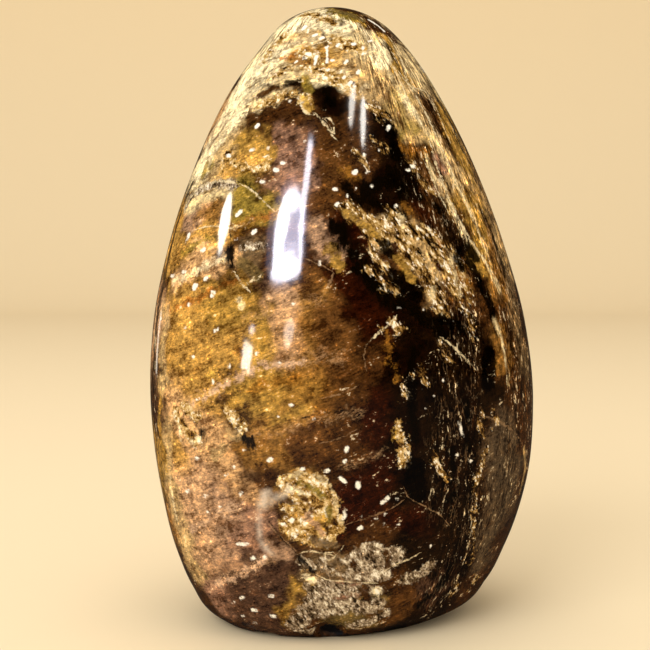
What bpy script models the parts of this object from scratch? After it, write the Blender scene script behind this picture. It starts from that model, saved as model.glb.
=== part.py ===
"""A calcite freeform: one natural stone, ground and polished by hand to a soft pointed egg.

The stone stands upright on a flat-cut base.  Its body is a stack of level, nearly elliptical
sections, each set in its own box of left, right, front and back reaches.  A few gentle waves
run round it, as hand grinding leaves them, and the foot is turned a little to one side.
A small natural hollow and two shallow chips break the front edge of the base.

The origin is the middle of the base, +Z is up and the front of the stone looks along -Y.
All sizes are in metres.
"""

import math

import bmesh
import bpy

HEIGHT = 0.120

# Each level: its height, then how far the stone reaches left, right, front and back there.
# The crown's point stands a little left of the middle.
LEVELS = (
    (0.0000, 0.02350, 0.02050, 0.01750, 0.01750),
    (0.0025, 0.02700, 0.02600, 0.02075, 0.02075),
    (0.0070, 0.03000, 0.03000, 0.02300, 0.02300),
    (0.0140, 0.03300, 0.03350, 0.02500, 0.02500),
    (0.0260, 0.03600, 0.03725, 0.02750, 0.02750),
    (0.0420, 0.03800, 0.03850, 0.02925, 0.02925),
    (0.0580, 0.03750, 0.03675, 0.02850, 0.02850),
    (0.0740, 0.03425, 0.03225, 0.02525, 0.02525),
    (0.0900, 0.02875, 0.02600, 0.02050, 0.02050),
    (0.1030, 0.02250, 0.01925, 0.01575, 0.01575),
    (0.1120, 0.01600, 0.01300, 0.01100, 0.01100),
    (0.1170, 0.01150, 0.00775, 0.00700, 0.00700),
    (HEIGHT, 0.00200, -0.00200, 0.0, 0.0),
)

# The waves of hand grinding: their count round the stone, their height as a share of the
# radius, their phase at the base and how far that phase turns from base to crown.
WAVES = ((3, 0.005, 0.9, 2.4), (4, -0.008, 0.0, 0.0), (5, 0.002, 2.0, -3.0))

FOOT_TURN = 0.129
EDGE_RADIUS = 0.0004

# Dents in the front wall: middle x, middle z, half width, half height and depth.
HOLLOW = (-0.0022, 0.0025, 0.0034, 0.0024, 0.0017)
EDGE_CHIP = (-0.0142, 0.0000, 0.0027, 0.0011, 0.0009)
FLAKE = (-0.0180, 0.0018, 0.0014, 0.0017, 0.0004)

COLUMNS = 96
ROWS = 46
FRONT_CROWDING = 0.35

STONE_COLOUR = (0.17, 0.085, 0.033, 1.0)
STONE_ROUGHNESS = 0.12


def clear_scene():
    """Remove whatever the file holds, so the stone stands alone."""
    for item in list(bpy.data.objects):
        bpy.data.objects.remove(item, do_unlink=True)


def fullness(height):
    """Turn a height into the square-root measure in which the crown's outline is straight."""
    return math.sqrt(max(0.0, 1.0 - height / HEIGHT))


def level_curve(side):
    """Give the knots of one side's outline, from the crown down, as (fullness, reach)."""
    return [(fullness(level[0]), level[side]) for level in reversed(LEVELS)]


def knot_slopes(knots):
    """Give a smooth curve's slope at each of its knots."""
    steps = [b[0] - a[0] for a, b in zip(knots, knots[1:])]
    rises = [(b[1] - a[1]) / step for a, b, step in zip(knots, knots[1:], steps)]
    inner = [
        (rises[i] * steps[i + 1] + rises[i + 1] * steps[i]) / (steps[i] + steps[i + 1])
        for i in range(len(steps) - 1)
    ]
    return [rises[0]] + inner + [rises[-1]]


def curve_value(knots, slopes, at):
    """Read the smooth curve through the knots at one fullness."""
    index = 0
    while index < len(knots) - 2 and at > knots[index + 1][0]:
        index += 1
    start, low = knots[index]
    end, high = knots[index + 1]
    step = end - start
    t = (at - start) / step
    return (
        (2 * t**3 - 3 * t**2 + 1) * low
        + (t**3 - 2 * t**2 + t) * step * slopes[index]
        + (3 * t**2 - 2 * t**3) * high
        + (t**3 - t**2) * step * slopes[index + 1]
    )


def edge_inset(height):
    """Draw the foot in along a quarter circle, so the base has a softened edge."""
    if height >= EDGE_RADIUS:
        return 0.0
    below = 1.0 - height / EDGE_RADIUS
    return EDGE_RADIUS * (1.0 - math.sqrt(max(0.0, 1.0 - below * below)))


def dent_depth(x, height, dent):
    """Give how deep one dent of the front wall is at this place."""
    middle_x, middle_z, half_width, half_height, depth = dent
    away = math.hypot((x - middle_x) / half_width, (height - middle_z) / half_height)
    if away >= 1.0:
        return 0.0
    return depth * (1.0 - away**3)


def wall_point(angle, height, sides):
    """Give the point of the stone's skin at an angle round it and a height."""
    measure = fullness(height)
    left, right, front, back = (curve_value(knots, slopes, measure) for knots, slopes in sides)
    inset = edge_inset(height)
    wave = 1.0
    for count, share, phase, twist in WAVES:
        wave += share * math.cos(count * angle + phase + twist * height / HEIGHT)
    half_width = (right + left) / 2 * wave - inset
    half_depth = (back + front) / 2 * wave - inset
    x = (right - left) / 2 + half_width * math.cos(angle)
    y = (back - front) / 2 + half_depth * math.sin(angle)
    y += FOOT_TURN * x * (1.0 - height / HEIGHT) ** 3
    if y < 0.0:
        for dent in (HOLLOW, EDGE_CHIP, FLAKE):
            y += dent_depth(x, height, dent)
    return x, y, height


def crowded_angle(turn):
    """Draw the columns closer together at the front, where the small dents are."""
    return turn - FRONT_CROWDING * math.cos(turn)


def make_stone():
    """Shape a closed ball into the stone: its lowest ring becomes the base's edge."""
    sides = []
    for side in range(1, 5):
        knots = level_curve(side)
        sides.append((knots, knot_slopes(knots)))
    mesh = bpy.data.meshes.new("stone")
    shape = bmesh.new()
    bmesh.ops.create_uvsphere(shape, u_segments=COLUMNS, v_segments=ROWS, radius=1.0)
    base_share = (1.0 - math.cos(math.pi / ROWS)) / 2
    for vertex in shape.verts:
        share = ((1.0 + vertex.co.z) / 2 - base_share) / (1.0 - base_share)
        height = HEIGHT * min(1.0, share)
        if share < -base_share / 2:
            vertex.co = (0.0, 0.0, 0.0)
            continue
        turn = math.atan2(vertex.co.y, vertex.co.x)
        vertex.co = wall_point(crowded_angle(turn), max(0.0, height), sides)
    centre_on_origin(shape)
    bmesh.ops.recalc_face_normals(shape, faces=shape.faces[:])
    shape.to_mesh(mesh)
    shape.free()
    mesh.shade_smooth()
    mesh.set_sharp_from_angle(angle=math.radians(40))
    stone = bpy.data.objects.new("stone", mesh)
    bpy.context.scene.collection.objects.link(stone)
    return stone


def centre_on_origin(shape):
    """Slide the stone until its reach left and right, and front and back, are even."""
    xs = [vertex.co.x for vertex in shape.verts]
    ys = [vertex.co.y for vertex in shape.verts]
    shift = (-(min(xs) + max(xs)) / 2, -(min(ys) + max(ys)) / 2, 0.0)
    bmesh.ops.translate(shape, verts=shape.verts[:], vec=shift)


def stone_material():
    """Polished honey-brown calcite."""
    material = bpy.data.materials.new("polished_calcite")
    material.use_nodes = True
    shader = material.node_tree.nodes["Principled BSDF"]
    shader.inputs["Base Color"].default_value = STONE_COLOUR
    shader.inputs["Roughness"].default_value = STONE_ROUGHNESS
    shader.inputs["Metallic"].default_value = 0.0
    return material


def main():
    """Build the whole object."""
    clear_scene()
    stone = make_stone()
    stone.data.materials.append(stone_material())


main()
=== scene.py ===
"""Looks of a calcite freeform: a polished natural stone that stands on a flat-cut base.

The stone's skin is rebuilt finely from its driving dimensions, inside the frame's own box.
Zones of colour, inclusions, veins, cracks and flecks are drawn on it as named strokes, and so
are painted reflections along the limbs and the crown's top edge, a few painted highlights, pale
dots that are partly painted sparkle, a painted halo beside a highlight, and a few painted
shadows.  A stroke is placed by points of the photograph, cast on to the skin, and kept as a
distance on the mesh, and the stone's finish reads those distances to draw crisp, broken edges.
The soft zones' colours are blended at places that a seeded sum of waves leads astray.  The back,
which the photograph doesn't show, gets strokes of the same kinds from a seeded draw.
"""

import logging
import math
import random
from collections.abc import Sequence
from dataclasses import dataclass
from enum import Enum

import bmesh
import bpy
import numpy as np
from mathutils import Matrix, Vector
from mathutils.bvhtree import BVHTree


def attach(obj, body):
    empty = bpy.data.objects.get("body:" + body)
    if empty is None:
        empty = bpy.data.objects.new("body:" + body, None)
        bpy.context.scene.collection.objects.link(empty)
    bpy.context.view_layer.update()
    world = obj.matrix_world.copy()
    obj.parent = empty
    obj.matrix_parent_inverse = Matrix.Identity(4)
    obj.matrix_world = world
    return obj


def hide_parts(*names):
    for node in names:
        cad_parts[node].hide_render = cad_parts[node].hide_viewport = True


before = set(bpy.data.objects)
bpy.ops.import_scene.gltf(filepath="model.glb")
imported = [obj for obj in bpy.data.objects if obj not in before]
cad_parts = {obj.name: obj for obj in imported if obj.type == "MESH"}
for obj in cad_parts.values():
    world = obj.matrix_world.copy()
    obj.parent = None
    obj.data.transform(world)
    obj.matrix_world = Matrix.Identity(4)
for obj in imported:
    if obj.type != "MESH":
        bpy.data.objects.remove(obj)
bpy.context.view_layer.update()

LOG = logging.getLogger("calcite")

FRAME_PIXELS = 650
MILLIMETRE = 0.001
PIXEL = 0.000185
FAR = 10.0

Point = tuple[float, float]
Span = tuple[float, float]
Path = tuple[Point, ...]
Place = tuple[float, float, float]
Colour = tuple[float, float, float, float]
Socket = bpy.types.NodeSocket
Tree = bpy.types.NodeTree
Value = float | Socket
Triple = Place | Socket


def tint(code: str) -> Colour:
    """Turn a written screen colour into the linear colour that shaders take.

    Args:
        code: The colour as six hexadecimal digits, such as "9a7a3a".

    Returns:
        Linear red, green and blue, and an alpha of one.
    """
    parts = [int(code[start:start + 2], 16) / 255 for start in (0, 2, 4)]
    linear = [c / 12.92 if c <= 0.04045 else ((c + 0.055) / 1.055) ** 2.4 for c in parts]
    return (linear[0], linear[1], linear[2], 1.0)


def placed(name: str, data: bpy.types.ID) -> bpy.types.Object:
    """Make an object of a mesh, light or camera, and put it in the scene.

    Args:
        name: The object's name.
        data: What it shows.

    Returns:
        The object.
    """
    thing = bpy.data.objects.new(name, data)
    bpy.context.scene.collection.objects.link(thing)
    return thing


class Tone(Enum):
    """The stone's own colours, as they look on a screen."""

    IVORY = "ecdcb4"
    CREAM = "cbb68a"
    BISCUIT = "b29668"
    PEACH = "c89e6e"
    SHELL = "b8926e"
    PINK = "caa88c"
    ROSE = "9c7c62"
    MAUVE = "8a6854"
    PLUM = "4a3426"
    FLINT = "4e4030"
    SUN = "c8a048"
    GOLDEN = "b68c46"
    HONEY = "9a7836"
    ORANGE = "9c6226"
    AMBER = "845a20"
    OLIVE = "84702e"
    KHAKI = "5e4e2c"
    TAUPE = "665238"
    CARAMEL = "86602c"
    RUST = "784c2a"
    UMBER = "5a3a1a"
    CHOCOLATE = "3c240e"
    OXBLOOD = "260b02"
    BARK = "180d04"
    SMOKE = "0d0501"
    INK = "050200"

    @property
    def colour(self) -> Colour:
        """The tone as a linear colour."""
        return tint(self.value)


class Layer(Enum):
    """The kinds of marking on the stone, each with its own finish; a few of its strokes are painted
    shadows, reflections and highlights.
    """

    STREAK = "streak"
    SEAM = "seam"
    DARK = "dark"
    SHARDS = "shards"
    PALE = "pale"
    GOLD = "gold"
    HAZE = "haze"
    FLECK = "fleck"
    HOLLOW = "hollow"
    RIM = "rim"
    CUT = "cut"
    VEIN = "vein"


LINES: tuple[Layer, ...] = (Layer.RIM, Layer.CUT, Layer.VEIN)


@dataclass(frozen=True)
class Stroke:
    """A mark drawn along points of the photograph, with its half width in pixels."""

    name: str
    reach: float
    path: Path


Marks = tuple[Stroke, ...]


def mark(name: str, reach: float, *numbers: float) -> Stroke:
    """Write down a stroke, whose numbers run across and down by turns."""
    return Stroke(name, reach, tuple(zip(numbers[::2], numbers[1::2])))


@dataclass(frozen=True)
class PhotoView:
    """The camera that sees the stone as the photograph does."""

    focal_pixels: float = 1100.0
    distance: float = 0.2198
    height: float = 0.0727
    aside: float = -0.0002
    pitch: float = math.radians(3.92)
    yaw: float = math.radians(0.86)
    sensor_mm: float = 36.0
    nearest: float = 0.01

    @property
    def place(self) -> Vector:
        """The camera's place."""
        return Vector((self.aside, -self.distance, self.height))

    @property
    def turn(self) -> Matrix:
        """The camera's rotation."""
        return Matrix.Rotation(self.yaw, 3, "Z") @ Matrix.Rotation(math.pi / 2 - self.pitch, 3, "X")

    def ray(self, pixel: Point) -> Vector:
        """Give the direction in which a pixel of the photograph looks.

        Args:
            pixel: Across and down, in pixels of the square photograph.

        Returns:
            The unit direction in the world.
        """
        middle = FRAME_PIXELS / 2
        across = (pixel[0] - middle) / self.focal_pixels
        up = (middle - pixel[1]) / self.focal_pixels
        return (self.turn @ Vector((across, up, -1.0))).normalized()

    def build(self) -> None:
        """Make the camera and hand the scene to it."""
        data = bpy.data.cameras.new("photo_view")
        data.sensor_width = self.sensor_mm
        data.lens = self.focal_pixels * self.sensor_mm / FRAME_PIXELS
        data.clip_start = self.nearest
        camera = placed("photo_view", data)
        camera.matrix_world = Matrix.Translation(self.place) @ self.turn.to_4x4()
        bpy.context.scene.camera = camera


@dataclass(frozen=True)
class Level:
    """One level section: its height, and its reach to each side, in metres."""

    height: float
    left: float
    right: float
    front: float
    back: float


@dataclass(frozen=True)
class Dent:
    """A hollow or chip in the front wall: its middle, half sizes and depth, in metres."""

    name: str
    x: float
    z: float
    half_width: float
    half_height: float
    depth: float

    def sink(self, x: float, z: float) -> float:
        """Give how deep the dent is at a place on the front wall."""
        away = math.hypot((x - self.x) / self.half_width, (z - self.z) / self.half_height)
        return 0.0 if away >= 1.0 else self.depth * (1.0 - away**3)


@dataclass
class StoneBody:
    """The stone's skin, rebuilt finely from the same dimensions as its solid."""

    height: float = 0.120
    foot_turn: float = 0.129
    edge_radius: float = 0.0004
    columns: int = 240
    rows: int = 400
    front_crowding: float = 0.60
    course_radius_mm: float = 32.0
    inside: float = 0.9994
    levels: tuple[Level, ...] = (
        Level(0.0, 0.0235, 0.0205, 0.0175, 0.0175),
        Level(0.0025, 0.027, 0.026, 0.02075, 0.02075),
        Level(0.007, 0.03, 0.03, 0.023, 0.023),
        Level(0.014, 0.033, 0.0335, 0.025, 0.025),
        Level(0.026, 0.036, 0.03725, 0.0275, 0.0275),
        Level(0.042, 0.038, 0.0385, 0.02925, 0.02925),
        Level(0.058, 0.0375, 0.03675, 0.0285, 0.0285),
        Level(0.074, 0.03425, 0.03225, 0.02525, 0.02525),
        Level(0.09, 0.02875, 0.026, 0.0205, 0.0205),
        Level(0.103, 0.0225, 0.01925, 0.01575, 0.01575),
        Level(0.112, 0.016, 0.013, 0.011, 0.011),
        Level(0.117, 0.0115, 0.00775, 0.007, 0.007),
        Level(0.12, 0.002, -0.002, 0.0, 0.0),
    )
    waves: tuple[tuple[int, float, float, float], ...] = (
        (3, 0.005, 0.9, 2.4),
        (4, -0.008, 0.0, 0.0),
        (5, 0.002, 2.0, -3.0),
    )
    dents: tuple[Dent, ...] = (
        Dent("hollow", -0.0022, 0.0025, 0.0034, 0.0024, 0.0017),
        Dent("edge chip", -0.0142, 0.0000, 0.0027, 0.0011, 0.0009),
        Dent("flake", -0.0180, 0.0018, 0.0014, 0.0017, 0.0004),
    )

    def __post_init__(self) -> None:
        """Work out each side's smooth outline from the levels."""
        self.knots = [self.fullness(level.height) for level in reversed(self.levels)]
        sides = ("left", "right", "front", "back")
        reaches = [[getattr(level, side) for level in reversed(self.levels)] for side in sides]
        self.outlines = [(values, self.slopes(values)) for values in reaches]

    def fullness(self, height: float) -> float:
        """Turn a height into the square-root measure in which the crown's outline is straight."""
        return math.sqrt(max(0.0, 1.0 - height / self.height))

    def slopes(self, values: list[float]) -> list[float]:
        """Give a smooth curve's slope at each of the knots.

        Args:
            values: The curve's height at each knot.

        Returns:
            The slopes, with those between two steps weighted to keep the curve from bulging.
        """
        steps = [after - before for before, after in zip(self.knots, self.knots[1:])]
        rises = [(b - a) / step for a, b, step in zip(values, values[1:], steps)]
        inner = [
            (rises[i] * steps[i + 1] + rises[i + 1] * steps[i]) / (steps[i] + steps[i + 1])
            for i in range(len(steps) - 1)
        ]
        return [rises[0]] + inner + [rises[-1]]

    def reach(self, outline: tuple[list[float], list[float]], at: float) -> float:
        """Read one side's outline.

        Args:
            outline: The outline's values and slopes at the knots.
            at: The fullness to read it at.

        Returns:
            The reach to that side, in metres.
        """
        values, slopes = outline
        index = 0
        while index < len(self.knots) - 2 and at > self.knots[index + 1]:
            index += 1
        step = self.knots[index + 1] - self.knots[index]
        t = (at - self.knots[index]) / step
        return (
            (2 * t**3 - 3 * t**2 + 1) * values[index]
            + (t**3 - 2 * t**2 + t) * step * slopes[index]
            + (3 * t**2 - 2 * t**3) * values[index + 1]
            + (t**3 - t**2) * step * slopes[index + 1]
        )

    def wall_point(self, angle: float, height: float) -> Vector:
        """Give the point of the skin at an angle round the stone and a height.

        Args:
            angle: The angle round the stone, from +X towards +Y.
            height: The height above the base.

        Returns:
            The point, in the frame.
        """
        at = self.fullness(height)
        left, right, front, back = (self.reach(outline, at) for outline in self.outlines)
        inset = 0.0
        if height < self.edge_radius:
            below = 1.0 - height / self.edge_radius
            inset = self.edge_radius * (1.0 - math.sqrt(max(0.0, 1.0 - below * below)))
        wave = 1.0
        for count, share, phase, twist in self.waves:
            wave += share * math.cos(count * angle + phase + twist * height / self.height)
        x = (right - left) / 2 + ((right + left) / 2 * wave - inset) * math.cos(angle)
        y = (back - front) / 2 + ((back + front) / 2 * wave - inset) * math.sin(angle)
        y += self.foot_turn * x * (1.0 - height / self.height) ** 3
        if y < 0.0:
            y += sum(dent.sink(x, height) for dent in self.dents)
        return Vector((x, y, height))

    def build(self) -> bmesh.types.BMesh:
        """Shape a closed ball into the stone, centred in the frame's box.

        Returns:
            The skin.  Its course layer holds the way round and up the stone, in millimetres.
        """
        shape = bmesh.new()
        bmesh.ops.create_uvsphere(
            shape, u_segments=self.columns, v_segments=self.rows, radius=1.0)
        course = shape.verts.layers.float_vector.new("course")
        foot_latitude = math.pi / self.rows
        for vertex in shape.verts:
            latitude = math.acos(max(-1.0, min(1.0, -vertex.co.z)))
            turn = math.atan2(vertex.co.y, vertex.co.x)
            if latitude < foot_latitude / 2:
                vertex.co = Vector()
                continue
            share = (latitude - foot_latitude) / (math.pi - foot_latitude)
            height = self.height * math.sin(math.pi / 2 * max(0.0, share))
            angle = turn - self.front_crowding * math.cos(turn)
            radius = self.course_radius_mm
            vertex[course] = Vector(
                (radius * math.cos(angle), radius * math.sin(angle), height / MILLIMETRE))
            vertex.co = self.wall_point(angle, height)
        self.centre(shape)
        bmesh.ops.recalc_face_normals(shape, faces=shape.faces[:])
        return shape

    def centre(self, shape: bmesh.types.BMesh) -> None:
        """Centre the skin over its base, and draw it in by a hair to stay inside its box.

        Args:
            shape: The skin.
        """
        xs = [vertex.co.x for vertex in shape.verts]
        ys = [vertex.co.y for vertex in shape.verts]
        shift = Vector((-(min(xs) + max(xs)) / 2, -(min(ys) + max(ys)) / 2, 0.0))
        bmesh.ops.translate(shape, verts=shape.verts[:], vec=shift)
        bmesh.ops.scale(shape, verts=shape.verts[:], vec=(self.inside, self.inside, 1.0))


STROKES: dict[Layer, Marks] = {
    Layer.STREAK: (
        mark("right flank", 24, 372, 30, 408, 70, 440, 130, 470, 200, 496, 270, 514, 345, 522, 420),
        mark("right middle", 28, 425, 160, 450, 230, 462, 300, 460, 400, 450, 500),
        mark("lower right", 26, 480, 500, 465, 550, 440, 590),
        mark("taupe face", 16, 508, 440, 508, 475, 498, 515),
        mark("upper fibres", 12, 366, 56, 384, 86, 400, 122),
        # The left flank's streaks stand partly for the stone's banding and partly for painted reflections
        # of the room along the left limb.
        mark("left flank", 13, 300, 18, 262, 52, 232, 92, 200, 150, 178, 205, 166, 250, 157, 310, 154, 380,
             158, 450, 166, 500),
    ),
    Layer.SEAM: (
        mark("long tan band", 4, 176, 412, 197, 400, 210, 392, 226, 382, 240, 373, 262, 364, 285, 363,
             304, 362, 327, 357, 343, 362),
        mark("second tan band", 3, 252, 433, 270, 433, 288, 427, 305, 422, 320, 419, 340, 416, 358, 413),
        mark("third tan band", 1.8, 343, 467, 360, 461, 382, 454),
        mark("left tan band", 3.5, 183, 534, 205, 523, 222, 512, 241, 503),
        mark("low tan band", 3.5, 213, 585, 226, 580, 240, 575, 254, 566, 270, 558),
        mark("fan root band", 5, 174, 281, 190, 272, 205, 267, 218, 261, 230, 255),
        mark("veil foot band", 2.5, 246, 318, 262, 314, 285, 308, 305, 302, 320, 300),
        mark("left limb band", 3, 166, 484, 168, 500, 172, 520, 180, 545, 190, 566),
    ),
    Layer.DARK: (
        mark("column, head", 6, 378, 116, 386, 124, 393, 140, 397, 155),
        mark("column, heart", 10, 365, 192, 385, 182, 398, 176, 406, 190),
        mark("column, left", 7, 348, 190, 356, 200, 372, 204),
        mark("column, right", 5, 398, 150, 404, 165, 412, 182, 418, 198),
        mark("column, foot", 6, 384, 206, 392, 213, 400, 218),
        mark("beside the flank", 3, 430, 200, 440, 210, 448, 224, 454, 240),
        mark("wedge by the shards", 6, 337, 226, 346, 245, 357, 262),
        mark("wedge under the shards", 8, 358, 264, 368, 276, 378, 288, 388, 298),
        mark("under the pocket", 8, 398, 300, 414, 310, 430, 322, 444, 334),
        mark("pocket, right", 7, 443, 320, 455, 324, 464, 330),
        mark("right middle", 6, 414, 350, 410, 376, 411, 404, 414, 440),
        mark("right, low", 5, 450, 450, 454, 480, 452, 512),
        mark("right streak", 4, 466, 392, 468, 420, 466, 450),
        mark("patch under the crown", 5.5, 325, 90, 331, 98, 328, 106),
        mark("low, right", 5, 455, 560, 440, 585, 420, 605),
        mark("fan shadow", 2, 230, 250, 231, 258, 234, 264),
        mark("foot spot", 5, 365, 588, 367, 598),
        mark("left crystal shadows", 2.5, 190, 412, 197, 424, 201, 436),
        mark("patch by the tan band", 3, 244, 438, 250, 446),
        mark("crown specks", 2, 308, 58, 316, 63),
    ),
    Layer.SHARDS: (
        mark("upper left", 8, 348, 210, 360, 217, 374, 228),
        mark("knot", 8, 372, 234, 382, 228, 388, 236),
        mark("upper right", 8, 395, 216, 404, 228, 416, 234),
        mark("field, left", 9, 402, 240, 412, 256, 422, 272, 434, 290, 442, 306),
        mark("field, right", 8, 422, 234, 436, 250, 448, 270, 457, 292),
        mark("field, foot", 3, 462, 306, 470, 322, 474, 338),
        mark("beside the slanted pocket", 4, 450, 246, 458, 262, 464, 282, 472, 300),
        mark("grey trail", 3, 370, 243, 380, 260, 388, 273, 396, 290),
        mark("grey trail, left", 2.5, 366, 268, 376, 276, 386, 288),
        mark("by the dark column", 4, 370, 106, 378, 112, 388, 118),
        mark("in the dark column", 3, 372, 138, 382, 146, 388, 152),
        mark("beside the column", 3, 356, 152, 362, 158, 366, 168),
        mark("right of the column", 3, 412, 164, 422, 178, 430, 190),
        mark("under the crack", 3, 442, 346, 448, 360),
        mark("right middle", 2, 410, 378, 420, 372, 426, 386),
        mark("crack head", 3, 384, 326, 394, 322, 402, 328),
        mark("by the hollow", 2.5, 402, 436, 404, 452, 403, 462),
        mark("right of the hollow", 2.5, 432, 456, 440, 466, 446, 478),
        mark("granule trail", 2, 480, 418, 484, 445, 484, 460, 478, 480, 474, 520, 472, 560),
        mark("right rim grit", 2, 494, 414, 497, 422),
        mark("left of the strip", 2, 404, 388, 406, 398),
        mark("low streak", 2.5, 450, 596, 456, 586),
        mark("low streak, right", 3, 470, 588, 476, 578),
    ),
    Layer.PALE: (
        mark("arrow, point", 5, 303, 560, 312, 566),
        mark("arrow, block", 9, 326, 564, 340, 566, 352, 568),
        mark("arrow, middle", 8, 352, 560, 362, 552, 374, 548),
        mark("arrow, barb", 11, 366, 566, 380, 560, 394, 556),
        mark("arrow, edge", 6, 352, 576, 366, 578, 384, 574),
        mark("arrow, foot", 5, 372, 591, 380, 592),
        mark("beyond the arrow", 6, 406, 580, 420, 574, 430, 564),
        mark("foot, left", 10, 296, 624, 306, 614, 314, 604),
        mark("foot, middle", 10, 318, 610, 330, 606, 342, 608),
        mark("foot, low", 5, 298, 630, 312, 632),
        mark("foot, upper", 7, 310, 588, 322, 594, 336, 592),
        mark("foot, right", 8, 352, 604, 364, 608, 378, 604),
        mark("foot, far right", 5, 350, 626, 370, 622, 386, 612),
        mark("foot, join", 6, 322, 584, 346, 590, 366, 586),
        mark("fan, fibres", 4, 186, 206, 194, 194, 206, 187, 222, 183, 236, 186),
        mark("fan, pale", 3.5, 240, 250, 252, 244, 262, 246),
    ),
    Layer.GOLD: (
        mark("limb crystals", 4, 228, 154, 224, 164, 222, 172),
        mark("under the dash", 4, 258, 106, 270, 102, 282, 96, 294, 92),
        mark("olive arc", 3, 274, 76, 288, 70, 304, 67, 318, 70),
        mark("crown, rusty", 4, 300, 52, 314, 56, 322, 64),
        mark("crown, pink", 7, 324, 74, 338, 79, 352, 86),
        mark("crown, grey", 7, 334, 40, 350, 46, 364, 50),
        mark("crown, top", 6, 304, 14, 318, 16, 332, 22),
        mark("crown, left", 5, 286, 34, 274, 46, 264, 60),
        mark("left limb", 6, 176, 414, 184, 428, 196, 442),
        mark("left crystals", 5, 184, 408, 196, 416),
        mark("above the cluster", 4, 226, 412, 234, 420, 242, 428),
        mark("gold spots", 3, 228, 154, 236, 164, 262, 170, 268, 160),
        mark("cluster, head", 10, 288, 484, 304, 480, 320, 484),
        mark("cluster, heart", 13, 292, 502, 312, 506, 324, 500),
        mark("cluster, right", 8, 331, 498, 333, 514, 336, 530),
        mark("cluster, foot", 10, 290, 526, 308, 534, 326, 540),
        mark("golden fleck, crown", 5, 304, 98, 310, 108),
        mark("golden strip", 3, 399, 424, 401, 438, 402, 452, 403, 464),
        mark("pale head of the strip", 4, 304, 576, 312, 580),
    ),
    Layer.HAZE: (
        mark("core", 3.6, 266, 494, 264, 500, 262, 505),
        mark("arc", 0.6, 260, 510, 259, 528, 263, 544, 271, 553),
        mark("veil over the cluster", 1.8, 270, 501, 279, 496, 290, 490),
    ),
    Layer.FLECK: (
        mark("spindle", 1.1, 237, 544, 249, 544),
        mark("spindle, heart", 1.8, 241, 544, 245, 544),
        mark("round grain", 2.7, 358, 484, 358, 486),
        mark("oval grain", 2.2, 340, 478, 345, 482),
        mark("grain above", 2.3, 347, 448, 346, 451),
        mark("dash, crown", 1.1, 327, 50, 327, 62),
        # A painted highlight dash on the crown, drawn as a white fleck.
        mark("crown, painted highlight dash", 1.5, 369, 20, 377, 25, 384, 31),
        mark("dash, right", 1.3, 459, 422, 461, 430, 463, 436),
        mark("shred, low", 1.6, 376, 590, 379, 594),
        mark("grain, grey", 1.8, 268, 461, 272, 459),
        mark("dash, fan", 1.8, 186, 242, 189, 234),
        mark("grain, fan", 2.0, 237, 215, 241, 211),
    ),
    Layer.HOLLOW: (
        mark("hollow", 9, 326, 629, 337, 632),
        mark("edge chip", 4, 249, 626, 256, 629),
    ),
    Layer.RIM: (
        # The four limb lines are painted reflections of the room's edges along the left limb.
        mark("limb, outer", 0.8, 186, 190, 200, 160, 218, 130, 238, 98, 262, 66),
        mark("limb, inner", 0.8, 194, 176, 210, 148, 232, 116, 254, 88, 270, 74),
        mark("limb, low", 0.8, 160, 300, 157, 340, 156, 380, 158, 430),
        mark("limb, low inner", 0.8, 170, 290, 166, 340, 164, 380),
        mark("veil, top", 0.8, 304, 258, 313, 262, 322, 266, 334, 272),
        mark("veil, side", 1.2, 334, 272, 330, 282, 325, 292, 321, 301),
        mark("wedge edge", 0.9, 367, 344, 364, 356, 366, 370),
        mark("flank, outer", 0.9, 455, 145, 472, 185, 487, 225, 500, 265, 512, 310),
        mark("taupe border", 1.1, 476, 414, 490, 418, 503, 424, 514, 432, 522, 443, 527, 455),
        mark("shell border", 0.9, 178, 476, 190, 468, 206, 463, 224, 466),
        mark("vertical line, low left", 0.8, 177, 476, 178, 494, 180, 514, 184, 534),
        mark("lens, top edge", 0.9, 344, 525, 357, 521, 376, 515, 392, 508, 404, 500),
        mark("lens, right edge", 0.8, 404, 488, 408, 497, 418, 503, 428, 508, 440, 515, 450, 526),
        mark("dark wood grain", 0.8, 322, 398, 340, 394, 358, 386),
        mark("dark wood grain, low", 0.8, 318, 444, 340, 438, 356, 430),
        mark("arrow stripes", 0.8, 336, 560, 340, 572, 342, 580),
        mark("arrow stripes, left", 0.8, 322, 562, 328, 574, 332, 582),
        mark("cluster edge", 1.0, 266, 521, 276, 532, 287, 543, 298, 552),
        mark("spoke", 0.9, 316, 540, 322, 552, 328, 560),
    ),
    Layer.CUT: (
        mark("long black crack", 0.9, 266, 518, 275, 529, 283, 540, 292, 549, 300, 557, 310, 567, 317, 574),
        mark("foot chip line", 0.9, 241, 614, 244, 622, 247, 628),
        mark("fan, split", 0.8, 229, 228, 231, 240, 230, 252, 232, 262, 238, 276),
        mark("fan, dark edge", 0.8, 236, 181, 246, 184, 256, 193, 266, 203),
        # The two limb lines are painted dark reflections along the left limb.
        mark("limb line", 1.1, 196, 176, 184, 204, 174, 232, 167, 262),
        mark("limb line, low", 1.2, 162, 280, 157, 316, 154, 352, 154, 376),
        mark("flank line", 1.0, 424, 92, 438, 118, 450, 148, 460, 172),
        mark("flank line, low", 1.2, 484, 214, 494, 238, 503, 262, 510, 290),
        mark("under the second band", 1.2, 300, 419, 318, 414, 336, 411, 354, 411),
        mark("dash edge", 0.8, 266, 80, 269, 73, 275, 67),
        # The crown's top edge is a painted dark reflection, drawn as a dark line.
        mark("crown edge, painted dark reflection", 1.2, 290, 19, 304, 11, 322, 7, 344, 9, 362, 15),
        mark("silver edge", 0.9, 376, 100, 384, 110, 392, 120),
    ),
    Layer.VEIN: (
        mark("crown line", 1.0, 262, 62, 275, 56, 292, 50, 306, 46, 319, 43, 333, 38, 347, 34),
        # The limb edge and the limb's bright line are painted bright reflections along the left limb.
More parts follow.
